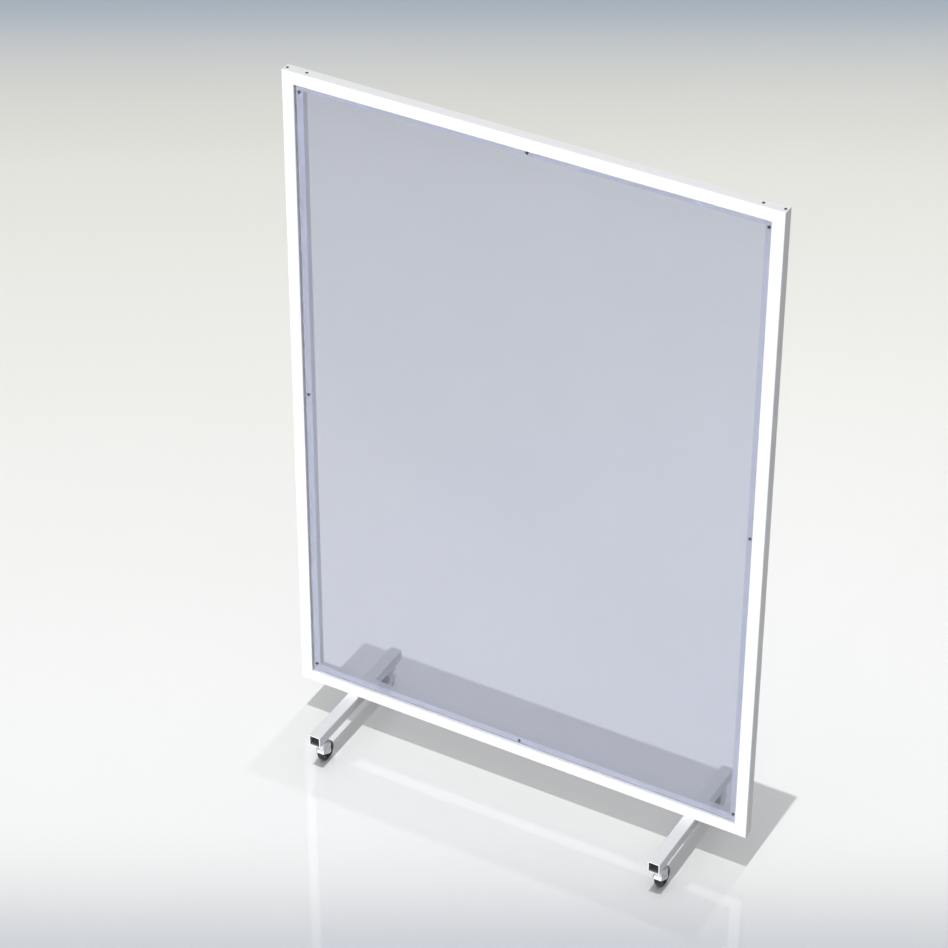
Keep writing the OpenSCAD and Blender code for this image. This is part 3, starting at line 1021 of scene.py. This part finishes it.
@dataclass
class TubeFrame:
    """The mitred frame, the four stops behind the panel and the two feet.

    Attributes:
        stop_wall: Wall thickness of the stop tubes.
        stop_corner: Outside corner radius of the stop tubes.
        stop_chamfer: Chamfer round the ends of the stop tubes.
        foot_wall: Wall thickness of the foot tubes.
        foot_chamfer: Chamfer round the ends of the foot tubes.
    """

    stop_wall: float = 0.0016
    stop_corner: float = 0.002
    stop_chamfer: float = 0.00025
    foot_wall: float = FOOT_WALL
    foot_chamfer: float = 0.0005

    def build(self) -> None:
        """Builds all ten tubes."""
        right, up = Vector((1, 0, 0)), Vector((0, 0, 1))
        sides = (("left", 2, -right), ("right", 2, right), ("top", 0, up), ("bottom", 0, -up))
        for side, along, outer in sides:
            kind = "stile" if along == 2 else "rail"
            SquareTube(f"{kind}_{side}", along, outer, End.MITRE).build()
        for side, along, outer in sides:
            stop = SquareTube(f"stop_{side}", along, outer, slot="stop_paint")
            stop.wall, stop.corner, stop.chamfer = self.stop_wall, self.stop_corner, self.stop_chamfer
            stop.build()
        for node in ("foot_left", "foot_right"):
            SquareTube(node, 1, up, wall=self.foot_wall, chamfer=self.foot_chamfer).build()


# ---------------------------------------------------------------- screws


@dataclass
class ButtonScrews:
    """Button-head socket screws with a dished six-sided socket.

    Attributes:
        node: The CAD node, whose separate screws these stand for.
        spots: Place of each screw's seat and the direction that its head looks.
        shank: Shank diameter.
        head: Head diameter.
        rise: Head height.
        length: Length under the head.
        finish: The screws' finish.
        slot: Name of a material slot in the record; not used.
    """

    node: str
    spots: Sequence[tuple[Vector, Vector]]
    shank: float
    head: float
    rise: float
    length: float
    finish: Finish = BLACK
    slot: str = "black_screws"

    def rings(self) -> list[Ring]:
        """The screw's rings from the tip up, over the dome and down into the socket.

        Returns:
            The rings.
        """
        r, flats = self.head / 2, self.shank * 0.3
        shank, slack = self.shank / 2 - 0.00005, 0.00003
        lift = self.rise * 0.8
        dome = (r * r + lift * lift) / (2 * lift)
        rows = [Ring(0.0, -self.length), Ring(shank - 0.0004, -self.length)]
        rows += [Ring(shank, -self.length + 0.0005), Ring(shank, -0.0002)]
        rows += [Ring(r - 0.0003, 0.0), Ring(r - 0.00005, 0.0001), Ring(r, self.rise * 0.12)]
        lip = flats / math.cos(math.pi / 6) + 0.0003
        for k in range(9):
            spread = r - (r - lip) * k / 8
            height = self.rise - dome + math.sqrt(dome * dome - spread * spread)
            rows.append(Ring(spread - slack, height - slack))
        top = rows[-1].z
        rows += [Ring(lip - 0.0003, top - 0.0002, flats + 0.0001), Ring(lip, top - 0.0004, flats)]
        rows += [Ring(lip, self.rise * 0.4 + 0.0001, flats), Ring(flats * 0.8, self.rise * 0.4)]
        return rows + [Ring(0.0, self.rise * 0.32)]

    def build(self) -> None:
        """Builds every screw of the node as one piece."""
        bm = bmesh.new()
        for seat, look in self.spots:
            place = Matrix.Translation(seat) @ look.to_track_quat("Z", "Y").to_matrix().to_4x4()
            MeshKit.turned(bm, self.rings(), place, 48)
        group = MeshKit.piece(f"{self.node}_detail", bm)
        settle(group, self.finish, Body.WALL.value, [self.node])


@dataclass
class Fasteners:
    """All screws and bolts that show.

    Attributes:
        corner_first: From the frame's end to the first corner screw.
        corner_second: From the frame's end to the second corner screw.
        panel_end: From the frame's top or bottom to the end screws of the panel.
        foot_pitch: Between the two bolts of a foot.
    """

    corner_first: float = 0.009
    corner_second: float = 0.0715
    panel_end: float = 0.0635
    foot_pitch: float = 0.017

    def build(self) -> None:
        """Builds the three groups of screws."""
        front, up = Vector((0, -1, 0)), Vector((0, 0, 1))
        low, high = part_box("rail_bottom")[0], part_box("rail_top")[1]
        reach = high.x
        corner = [
            (Vector((side * (reach - inset), 0, z)), look)
            for side in (-1, 1)
            for inset in (self.corner_first, self.corner_second)
            for z, look in ((high.z, up), (low.z, -up))
        ]
        ButtonScrews("corner_screws", corner, 0.006, 0.009, 0.002, 0.012).build()
        stop_low, stop_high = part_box("stop_right")
        x = (stop_low.x + stop_high.x) / 2
        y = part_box("panel")[0].y
        edge = reach - x
        panel = [
            (Vector((side * x, y, z)), front)
            for side in (-1, 1)
            for z in (low.z + self.panel_end, (low.z + high.z) / 2, high.z - self.panel_end)
        ]
        panel += [(Vector((0, y, low.z + edge)), front), (Vector((0, y, high.z - edge)), front)]
        ButtonScrews("panel_screws", panel, 0.005, 0.0095, 0.00275, 0.0168).build()
        foot_low, foot_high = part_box("foot_right")
        foot_x = (foot_low.x + foot_high.x) / 2
        feet = [
            (Vector((sx * foot_x, sy * self.foot_pitch / 2, foot_low.z)), -up)
            for sx in (-1, 1)
            for sy in (-1, 1)
        ]
        ButtonScrews("foot_bolts", feet, 0.006, 0.0105, 0.0033, 0.0521, ZINC, "zinc_fasteners").build()


# ---------------------------------------------------------------- casters


@dataclass
class CasterHood:
    """The pressed hood over a wheel, with its swivel turret and the pads round the axle.

    It is drawn with the swivel axis on the origin and the wheel towards +Y.

    Attributes:
        corner: The corner that it stands at.
        trail: From the swivel axis to the axle.
        axle_z: Height of the axle.
        radius: Outside radius of the drum.
        half_width: Half the outside width.
        edge: Outside edge radius of the drum.
        sheet: Thickness of the sheet.
        back: From the axle to the hood's upright edge.
        boss: Radius of the pad round the axle.
        turret: Radius of the turret.
        top: Height of the turret's top.
        groove: Radius and depth of the ball groove.
    """

    corner: Corner
    trail: float = AXLE_TRAIL
    axle_z: float = AXLE_Z
    radius: float = 0.0355
    half_width: float = 0.0155
    edge: float = 0.005
    sheet: float = 0.002
    back: float = 0.007
    boss: float = 0.008
    turret: float = 0.015
    top: float = 0.0715
    groove: tuple[float, float] = (0.012, 0.0009)

    def middle_sizes(self) -> tuple[float, float, float]:
        """Radius, half width and edge radius of the middle of the drum's sheet."""
        return tuple(size - self.sheet / 2 for size in (self.radius, self.half_width, self.edge))

    def drum_profile(self) -> list[tuple[float, float]]:
        """Middle of the sheet from one side pad over the drum to the other, as radius and place across.

        Returns:
            The profile.
        """
        r, w, e = self.middle_sizes()
        side = [self.boss + (r - e - self.boss) * k / 10 for k in range(11)]
        left = [(s, -w) for s in side]
        left += [(r - e + e * math.sin(a), -(w - e) - e * math.cos(a)) for a in quarter(6, 1)]
        band = [(r, -(w - e) + 2 * (w - e) * k / 14) for k in range(1, 14)]
        return left + band + mirrored(left)

    def cut_angles(self, radius: float) -> tuple[float, float]:
        """Where the hood's outline cuts a circle about the axle.

        Args:
            radius: The circle's radius.

        Returns:
            The angles of the upright edge and of the sloping edge, from the wheel side over the top.
        """
        first = math.acos(self.back / radius)
        reach = self.radius + 0.010
        start = Vector((-self.boss * 0.4, -self.boss * 0.87))
        run = (Vector((-reach, 0.016)) - start).normalized()
        foot = start - run * start.dot(run)
        spot = foot + run * math.sqrt(max(radius * radius - foot.length_squared, 0.0))
        last = math.atan2(spot.y, spot.x)
        return first, last if last > 0 else last + 2 * math.pi

    def add_drum(self, bm: bmesh.types.BMesh, steps: int = 72) -> None:
        """Adds the drum as a single skin, open where the turret stands on it.

        Args:
            bm: The mesh to add to.
            steps: Faces from one cut edge to the other.
        """
        rows = []
        for radius, across in self.drum_profile():
            first, last = self.cut_angles(radius)
            row = []
            for k in range(steps + 1):
                a = first + (last - first) * k / steps
                spot = (across, self.trail + radius * math.cos(a), self.axle_z + radius * math.sin(a))
                row.append(bm.verts.new(spot))
            rows.append(row)
        for lower, upper in zip(rows, rows[1:]):
            for k in range(steps):
                corners = (lower[k], lower[k + 1], upper[k + 1], upper[k])
                middle = sum((v.co for v in corners), Vector()) / 4
                above = middle.z > self.axle_z + self.radius * 0.4
                if above and middle.xy.length < self.turret - self.sheet * 0.6:
                    continue
                bm.faces.new(corners)

    def drum_height(self, x: float, y: float) -> float:
        """Height of the middle of the drum's sheet over a point.

        Args:
            x: The point's place across.
            y: The point's place along.

        Returns:
            The height.
        """
        r, w, e = self.middle_sizes()
        over = min(max(abs(x) - (w - e), 0.0), e * 0.98)
        reach = r - e + math.sqrt(e * e - over * over)
        return self.axle_z + math.sqrt(max(reach * reach - (y - self.trail) ** 2, 0.0))

    def add_turret(self, bm: bmesh.types.BMesh, segments: int = 72) -> None:
        """Adds the turret: a wall that flares out of the drum, and a top plate with the ball groove.

        Args:
            bm: The mesh to add to.
            segments: Points round the turret.
        """
        wide, tall = self.turret, self.top
        plate, bore = 0.0035, 0.00505
        g_r, g_d = self.groove
        groove = [(g_r - 0.0022 + 0.0044 * k / 8, tall - g_d * math.sin(math.pi * k / 8)) for k in range(9)]
        soft = 0.0016
        crown = [(wide - soft + soft * math.sin(a), tall - soft * (1 - math.cos(a))) for a in quarter(5)]
        outer = [(bore, tall - 0.0004), (bore + 0.0004, tall), *groove, *crown[1:]]
        inside = wide - self.sheet
        inner = [(inside - 0.0004, tall - plate - 0.0004), (inside - 0.001, tall - plate)]
        flare = ((0.0, 0.0024), (0.00015, 0.0014), (0.0005, 0.0006), (0.0012, 0.0))
        loops: list[list[Vector]] = []
        angles = circle(segments)
        limit = self.half_width - 0.0003

        def loop(radius: float, height: Callable[[float, float], float]) -> list[Vector]:
            """One loop of the turret at a radius, kept inside the hood's width.

            Args:
                radius: The loop's radius.
                height: Its height over a point.

            Returns:
                The loop's points.
            """
            spots = []
            for a in angles:
                x, y = max(-limit, min(limit, radius * math.cos(a))), radius * math.sin(a)
                spots.append(Vector((x, y, height(x, y))))
            return spots

        for radius, z in outer:
            loops.append(loop(radius, lambda x, y, z=z: z))
        top = tall - 0.0017
        for spread, lift in flare:
            loops.append(loop(wide + spread, lambda x, y, lift=lift: min(self.drum_height(x, y) + lift, top)))
        loops.append(loop(wide - self.sheet, self.drum_height))
        for radius, z in inner:
            loops.append(loop(radius, lambda x, y, z=z: z))
        loops.append(loop(bore, lambda x, y: tall - plate))
        MeshKit.loft(bm, loops, closed=True)

    def add_pads(self, bm: bmesh.types.BMesh) -> None:
        """Adds the two round pads that the axle passes through.

        Args:
            bm: The mesh to add to.
        """
        hole, thick = 0.00405, self.sheet
        corners = [(hole, 0.0), (self.boss, 0.0), (self.boss, thick), (hole, thick)]
        section = MeshKit.filleted(corners, 0.0004, 3)
        for side in (-1, 1):
            place = Matrix.Translation((side * (self.half_width - thick / 2), self.trail, self.axle_z))
            place = place @ Matrix.Rotation(math.pi / 2, 4, "Y") @ Matrix.Translation((0, 0, -thick / 2))
            MeshKit.turned(bm, rings_of(section), place, 48, closed=True)

    def build(self) -> None:
        """Builds the hood at its corner."""
        bm = bmesh.new()
        self.add_drum(bm)
        bmesh.ops.recalc_face_normals(bm, faces=bm.faces)
        skin = MeshKit.piece(self.corner.node("hood") + "_pressing", bm, outward=False)
        thick = skin.modifiers.new("sheet", "SOLIDIFY")
        thick.thickness, thick.offset = self.sheet, 0.0
        soft = skin.modifiers.new("edge", "BEVEL")
        soft.width, soft.segments, soft.limit_method, soft.angle_limit = 0.0004, 2, "ANGLE", math.radians(50)
        bpy.context.view_layer.update()
        shaped = bpy.data.meshes.new_from_object(skin.evaluated_get(bpy.context.evaluated_depsgraph_get()))
        bm = bmesh.new()
        bm.from_mesh(shaped)
        bpy.data.objects.remove(skin)
        self.add_turret(bm)
        self.add_pads(bm)
        settle_at(self.corner, "hood", "shell", bm, CASTER_PLATE, self.corner.swivel_body)


@dataclass
class CasterWheel:
    """A rubber tyre on a ribbed plastic hub, with the riveted axle through it.

    Attributes:
        corner: The corner that it stands at.
        trail: From the swivel axis to the axle.
        axle_z: Height of the axle.
        radius: Tyre radius.
        width: Tyre width.
        rubber: Thickness of the tyre.
        shoulder: Edge radius of the tyre.
        ribs: Ribs on each side of the hub.
        cheek: Half the hood's width.
        pin: Radius of the axle's pin.
        head: Radius of the axle's heads.
        head_height: Height of the axle's heads.
    """

    corner: Corner
    trail: float = AXLE_TRAIL
    axle_z: float = AXLE_Z
    radius: float = 0.03175
    width: float = 0.024
    rubber: float = 0.007
    shoulder: float = 0.005
    ribs: int = 8
    cheek: float = 0.0155
    pin: float = 0.004
    head: float = 0.006
    head_height: float = 0.002

    def axle_place(self) -> Matrix:
        """The wheel's own Z axis laid along the axle."""
        return Matrix.Translation((0, self.trail, self.axle_z)) @ Matrix.Rotation(math.pi / 2, 4, "Y")

    def tyre(self) -> None:
        """Builds the tyre with two moulded grooves and a bead ring on each side."""
        r, w, s = self.radius, self.width / 2, self.shoulder
        inner = r - self.rubber
        half = [(r, 0.0002), (r, 0.0046), (r - 0.0005, 0.005), (r - 0.0005, 0.0056), (r, 0.006), (r, w - s)]
        half += [(r - s + s * math.cos(a), w - s + s * math.sin(a)) for a in quarter(8, 1)]
        bead = inner + 0.0012
        half += [(bead + 0.0006, w), (bead + 0.0004, w - 0.0004), (bead - 0.0002, w - 0.0004)]
        half += [(bead - 0.0004, w), (inner + 0.0003, w), (inner, w - 0.0003)]
        bm = bmesh.new()
        MeshKit.turned(bm, rings_of(mirrored(half) + half), self.axle_place(), 128, closed=True)
        settle_at(self.corner, "tyre", "rubber", bm, RUBBER, self.corner.wheel_body)

    def hub(self) -> None:
        """Builds the hub: rim, web, boss and ribs."""
        rim, w = self.radius - self.rubber, self.width / 2
        bore, boss, boss_half, web = 0.00605, 0.010, w + 0.001, 0.005
        half = [(bore, boss_half), (boss, boss_half), (boss + 0.0004, web)]
        half += [(rim - 0.005, web), (rim - 0.0042, w), (rim, w)]
        section = MeshKit.filleted(half + mirrored(half), 0.0007, 3)
        bm = bmesh.new()
        MeshKit.turned(bm, rings_of(section), self.axle_place(), 96, closed=True)
        for side in (-1, 1):
            for k in range(self.ribs):
                self.add_rib(bm, side, 2 * math.pi * k / self.ribs, boss, rim - 0.0045, web, w - 0.0015)
        settle_at(self.corner, "hub", "moulding", bm, HUB_PLASTIC, self.corner.wheel_body)

    def add_rib(
        self, bm: bmesh.types.BMesh, side: int, angle: float, near: float, far: float, low: float, high: float
    ) -> None:
        """Adds one tapered radial rib.

        Args:
            bm: The mesh to add to.
            side: Which side of the web, -1 or 1.
            angle: Direction of the rib.
            near: Radius at its inner end.
            far: Radius at its outer end.
            low: Height of its root from the wheel's middle.
            high: Height of its crest.
        """
        place = self.axle_place() @ Matrix.Rotation(angle, 4, "Z")
        loops = []
        sections = ((low - 0.0005, 0.0012, 0.0), (high - 0.0003, 0.0009, 0.0), (high, 0.0006, 0.0003))
        for z, half, draw in sections:
            start, end = near - 0.0005 + draw, far + 0.0003 - draw
            outline = ((start, -half), (end, -half), (end, half), (start, half))
            loops.append([Vector((x, y, side * z)) for x, y in outline])
        MeshKit.loft(bm, loops, closed=False, place=place)

    def axle(self) -> None:
        """Builds the axle with a domed, dimpled head at each end."""
        cheek, pin, head, thick = self.cheek, self.pin, self.head, self.head_height
        rise = 0.0006
        dome = [
            (head * math.cos(a) * 0.98 + 0.02 * head, cheek + rise + (thick - rise) * math.sin(a))
            for a in quarter(8)[:7]
        ]
        half = [(pin, 0.0), (pin, cheek), (head - 0.0002, cheek), *dome]
        end = cheek + thick
        half += [(0.0016, end - 0.00005), (0.0012, end - 0.0004), (0.0, end - 0.0005)]
        bm = bmesh.new()
        MeshKit.turned(bm, rings_of(mirrored(half) + half[1:]), self.axle_place(), 48)
        settle_at(self.corner, "axle", "rivet", bm, ZINC, self.corner.swivel_body)

    def build(self) -> None:
        """Builds the tyre, hub and axle."""
        self.tyre()
        self.hub()
        self.axle()


@dataclass
class CasterStems:
    """The pieces of the four casters that stay with the feet: stems, races, washers and nuts.

    Attributes:
        foot: Height of the foot's underside.
        foot_wall: Wall thickness of the foot tube.
        race: Height of the upper race's plate.
        collar: Height of the underside of the six-sided collar.
        pin: Height of the kingpin's head.
        stem: Stem diameter.
        pitch: Thread pitch.
    """

    foot: float = 0.088
    foot_wall: float = FOOT_WALL
    race: float = 0.07695
    collar: float = 0.08045
    pin: float = 0.0647
    stem: float = 0.010
    pitch: float = 0.0015

    def stem_rings(self) -> list[Ring]:
        """Kingpin head, pin, collar and threaded stud.

        Returns:
            The rings from the bottom up.
        """
        r, head, flats = self.stem / 2, 0.0075, 0.011
        wide = flats / math.cos(math.pi / 6)
        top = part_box("caster_stems")[1].z
        rows = [Ring(0.0, self.pin + 0.0003), Ring(0.002, self.pin), Ring(head - 0.001, self.pin)]
        rows += [Ring(head, self.pin + 0.0008), Ring(head, self.pin + 0.0027)]
        rows += [Ring(head - 0.0003, self.pin + 0.003), Ring(r, self.pin + 0.003), Ring(r, self.collar)]
        rows += [Ring(flats * 0.98, self.collar, flats), Ring(wide, self.collar + 0.0009, flats)]
        rows += [Ring(wide, self.foot - 0.0009, flats)]
        rows += [Ring(flats * 0.98, self.foot, flats), Ring(r, self.foot)]
        z, root = self.foot + 0.0005, r - 0.0007
        while z + self.pitch < top - 0.0008:
            rows += [Ring(root, z), Ring(root, z + self.pitch * 0.2)]
            rows += [Ring(r, z + self.pitch * 0.55), Ring(r, z + self.pitch * 0.65)]
            z += self.pitch
        rows += [Ring(root, z), Ring(r - 0.001, top - 0.0002), Ring(r - 0.0013, top), Ring(0.0, top)]
        return rows

    def race_rings(self) -> list[Ring]:
        """The dished plate over the bearing, as a closed section.

        Returns:
            The rings.
        """
        wide, bore, plate, drop, skirt = 0.019, 0.00505, 0.0035, 0.0035, 0.002
        z = self.race
        corners = [(bore, z), (wide - skirt, z), (wide - skirt, z - drop), (wide, z - drop)]
        corners += [(wide, z + plate), (bore, z + plate)]
        return rings_of(MeshKit.filleted(corners, 0.0009, 4))

    def washer_rings(self) -> list[Ring]:
        """The washer inside the foot, as a closed section.

        Returns:
            The rings.
        """
        z = self.foot + self.foot_wall
        corners = [(0.00525, z), (0.010, z), (0.010, z + 0.002), (0.00525, z + 0.002)]
        return rings_of(MeshKit.filleted(corners, 0.0003, 2))

    def nut_rings(self) -> list[Ring]:
        """The nut with chamfered corners and a locking ring, as a closed section.

        Returns:
            The rings.
        """
        z, flats, bore = self.foot + self.foot_wall + 0.002, 0.0085, 0.0051
        wide = flats / math.cos(math.pi / 6)
        rows = [Ring(bore, z + 0.0005), Ring(bore + 0.0005, z), Ring(flats * 0.97, z, flats)]
        rows += [Ring(wide, z + 0.0008, flats), Ring(wide, z + 0.0052, flats)]
        rows += [Ring(flats * 0.96, z + 0.006, flats), Ring(flats * 0.86, z + 0.0063)]
        rows += [Ring(flats * 0.84, z + 0.0077), Ring(flats * 0.78, z + 0.008)]
        return rows + [Ring(bore + 0.0008, z + 0.008), Ring(bore, z + 0.0074)]

    def build(self) -> None:
        """Builds the four groups."""
        groups: tuple[tuple[str, list[Ring], bool, Finish, str], ...] = (
            ("caster_stems", self.stem_rings(), False, ZINC, "zinc_fasteners"),
            ("upper_races", self.race_rings(), True, CASTER_PLATE, "caster_zinc"),
            ("stem_washers", self.washer_rings(), True, ZINC, "zinc_fasteners"),
            ("stem_nuts", self.nut_rings(), True, ZINC, "zinc_fasteners"),
        )
        for node, rings, closed, finish, slot in groups:
            bm = bmesh.new()
            for corner in CORNERS:
                axis = joint_spot(f"swivel_{corner.name}")
                MeshKit.turned(bm, rings, Matrix.Translation((axis.x, axis.y, 0)), 72, closed)
            group = MeshKit.piece(f"{node}_detail", bm)
            settle(group, finish, Body.WALL.value, [node])


# ---------------------------------------------------------------- pieces that keep their CAD meshes


@dataclass(frozen=True)
class CarriedPieces:
    """Finishes for the CAD nodes that stay as they are.

    Attributes:
        finishes: Start of a node's name to its finish.
    """

    finishes: tuple[tuple[str, Finish], ...] = (
        ("panel_rivet_nuts", ZINC),
        ("foot_rivet_nuts", ZINC),
        ("connector", CASTING),
        ("bushing", ACETAL),
        ("balls", BALL_STEEL),
        ("panel", SHEET),
    )

    def build(self, shown: Sequence[str]) -> None:
        """Dresses each CAD node that still shows.

        Args:
            shown: Names of the nodes.
        """
        for name in shown:
            finish = next(f for start, f in self.finishes if name.startswith(start))
            finish.lay_on(frame["nodes"][name])
            log.info("%s: keeps its CAD mesh, finish %s", name, finish.name)


# ---------------------------------------------------------------- studio


@dataclass
class Studio:
    """Pale floor, two steep key lights, level fills from the front and from behind, and the camera.

    Attributes:
        floor_half: Half the floor's size.
        lights: Each distant light's name, strength, lean from upright in degrees, angular size in degrees,
            and whether it throws shadows.
        ambient: Strength of the surrounding light at the horizon and overhead.
        backdrop: Brightness of the surroundings where they are seen past the floor.
        spot: Place of the camera.
        heading: Camera's turn about Z, in degrees.
        dip: How far the camera looks down, in degrees.
        roll: Camera's roll, in degrees.
        lens: Focal length on a 36 mm sensor.
    """

    floor_half: float = 30.0
    lights: tuple[tuple[str, float, float, float, bool], ...] = (
        ("front_key", 1.50, 8.5, 0.35, True),
        ("rear_key", 0.22, -8.5, 0.6, True),
        ("front_fill", 2.5, 89.0, 1.5, True),
        ("soft_fill", 0.4, 89.0, 1.5, False),
        ("back_fill", 0.7, -89.0, 8.0, True),
    )
    ambient: tuple[float, float] = (0.10, 0.95)
    backdrop: float = 0.62
    spot: tuple[float, float, float] = (3.7597, -7.0232, 6.9298)
    heading: float = 29.185
    dip: float = 35.915
    roll: float = 0.159
    lens: float = 131.23

    def surroundings(self) -> bpy.types.World:
        """Pale surroundings that are brighter overhead than at the horizon.

        Returns:
            The world.
        """
        world = bpy.data.worlds.new("studio_surroundings")
        world.use_nodes = True
        sheet = NodeSheet(world.node_tree)
        back = world.node_tree.nodes["Background"]
        back.inputs["Color"].default_value = (0.97, 0.985, 1.0, 1.0)
        height = sheet.add("ShaderNodeSeparateXYZ")
        sheet.wire(sheet.add("ShaderNodeTexCoord").outputs["Generated"], height.inputs[0])
        low, high = self.ambient
        glow = sheet.ramp(height.outputs["Z"], 0.40, 1.0, low, high)
        seen = sheet.add("ShaderNodeLightPath").outputs["Is Camera Ray"]
        sheet.wire(sheet.ramp(seen, 0.0, 1.0, glow, self.backdrop), back.inputs["Strength"])
        return world

    def sun(self, name: str, strength: float, lean: float, spread: float, shadow: bool) -> None:
        """Adds a distant light that leans about the X axis.

        Args:
            name: The light's name.
            strength: Its strength.
            lean: Turn about X in degrees; 0 shines straight down.
            spread: Its angular size in degrees.
            shadow: True when it throws shadows.
        """
        light = bpy.data.lights.new(name, "SUN")
        light.energy, light.angle, light.use_shadow = strength, math.radians(spread), shadow
        lamp = bpy.data.objects.new(name, light)
        lamp.rotation_euler = (math.radians(lean), 0.0, 0.0)
        lamp.location = (0, 0, LAMP_HEIGHT)
        bpy.context.scene.collection.objects.link(lamp)

    def build(self) -> None:
        """Builds the floor, the lights, the surroundings and the camera."""
        bm = bmesh.new()
        bmesh.ops.create_grid(bm, x_segments=8, y_segments=8, size=self.floor_half)
        floor = MeshKit.piece("studio_floor", bm, outward=False)
        FLOOR.lay_on(floor)
        for light in self.lights:
            self.sun(*light)
        scene = bpy.context.scene
        scene.world = self.surroundings()
        scene.view_settings.view_transform = "Standard"
        lens = bpy.data.cameras.new("view")
        lens.lens, lens.sensor_width, lens.sensor_fit = self.lens, 36.0, "HORIZONTAL"
        lens.clip_end = 200.0
        camera = bpy.data.objects.new("view", lens)
        turn = Matrix.Rotation(math.radians(self.heading), 4, "Z")
        tilt = Matrix.Rotation(math.radians(90.0 - self.dip), 4, "X")
        level = Matrix.Rotation(math.radians(self.roll), 4, "Z")
        camera.matrix_world = Matrix.Translation(self.spot) @ turn @ tilt @ level
        scene.collection.objects.link(camera)
        scene.camera = camera


# ---------------------------------------------------------------- the whole wall


@dataclass
class PartitionWall:
    """Builds every sub-assembly in order."""

    tubes: TubeFrame = field(default_factory=TubeFrame)
    fasteners: Fasteners = field(default_factory=Fasteners)
    stems: CasterStems = field(default_factory=CasterStems)
    carried: CarriedPieces = field(default_factory=CarriedPieces)

    def build(self) -> None:
        """Builds the tubes, screws and casters, then dresses what stays from the CAD part."""
        self.tubes.build()
        self.fasteners.build()
        self.stems.build()
        for corner in CORNERS:
            CasterHood(corner).build()
            CasterWheel(corner).build()
        starts = tuple(start for start, _ in self.carried.finishes)
        kept = [n for n in frame["nodes"] if n.startswith(starts) and n != "panel_screws"]
        self.carried.build(kept)


def main() -> None:
    """Builds the wall and the studio."""
    logging.basicConfig(level=logging.INFO, format="%(name)s: %(message)s")
    PartitionWall().build()
    Studio().build()


if __name__ == "__main__":
    main()
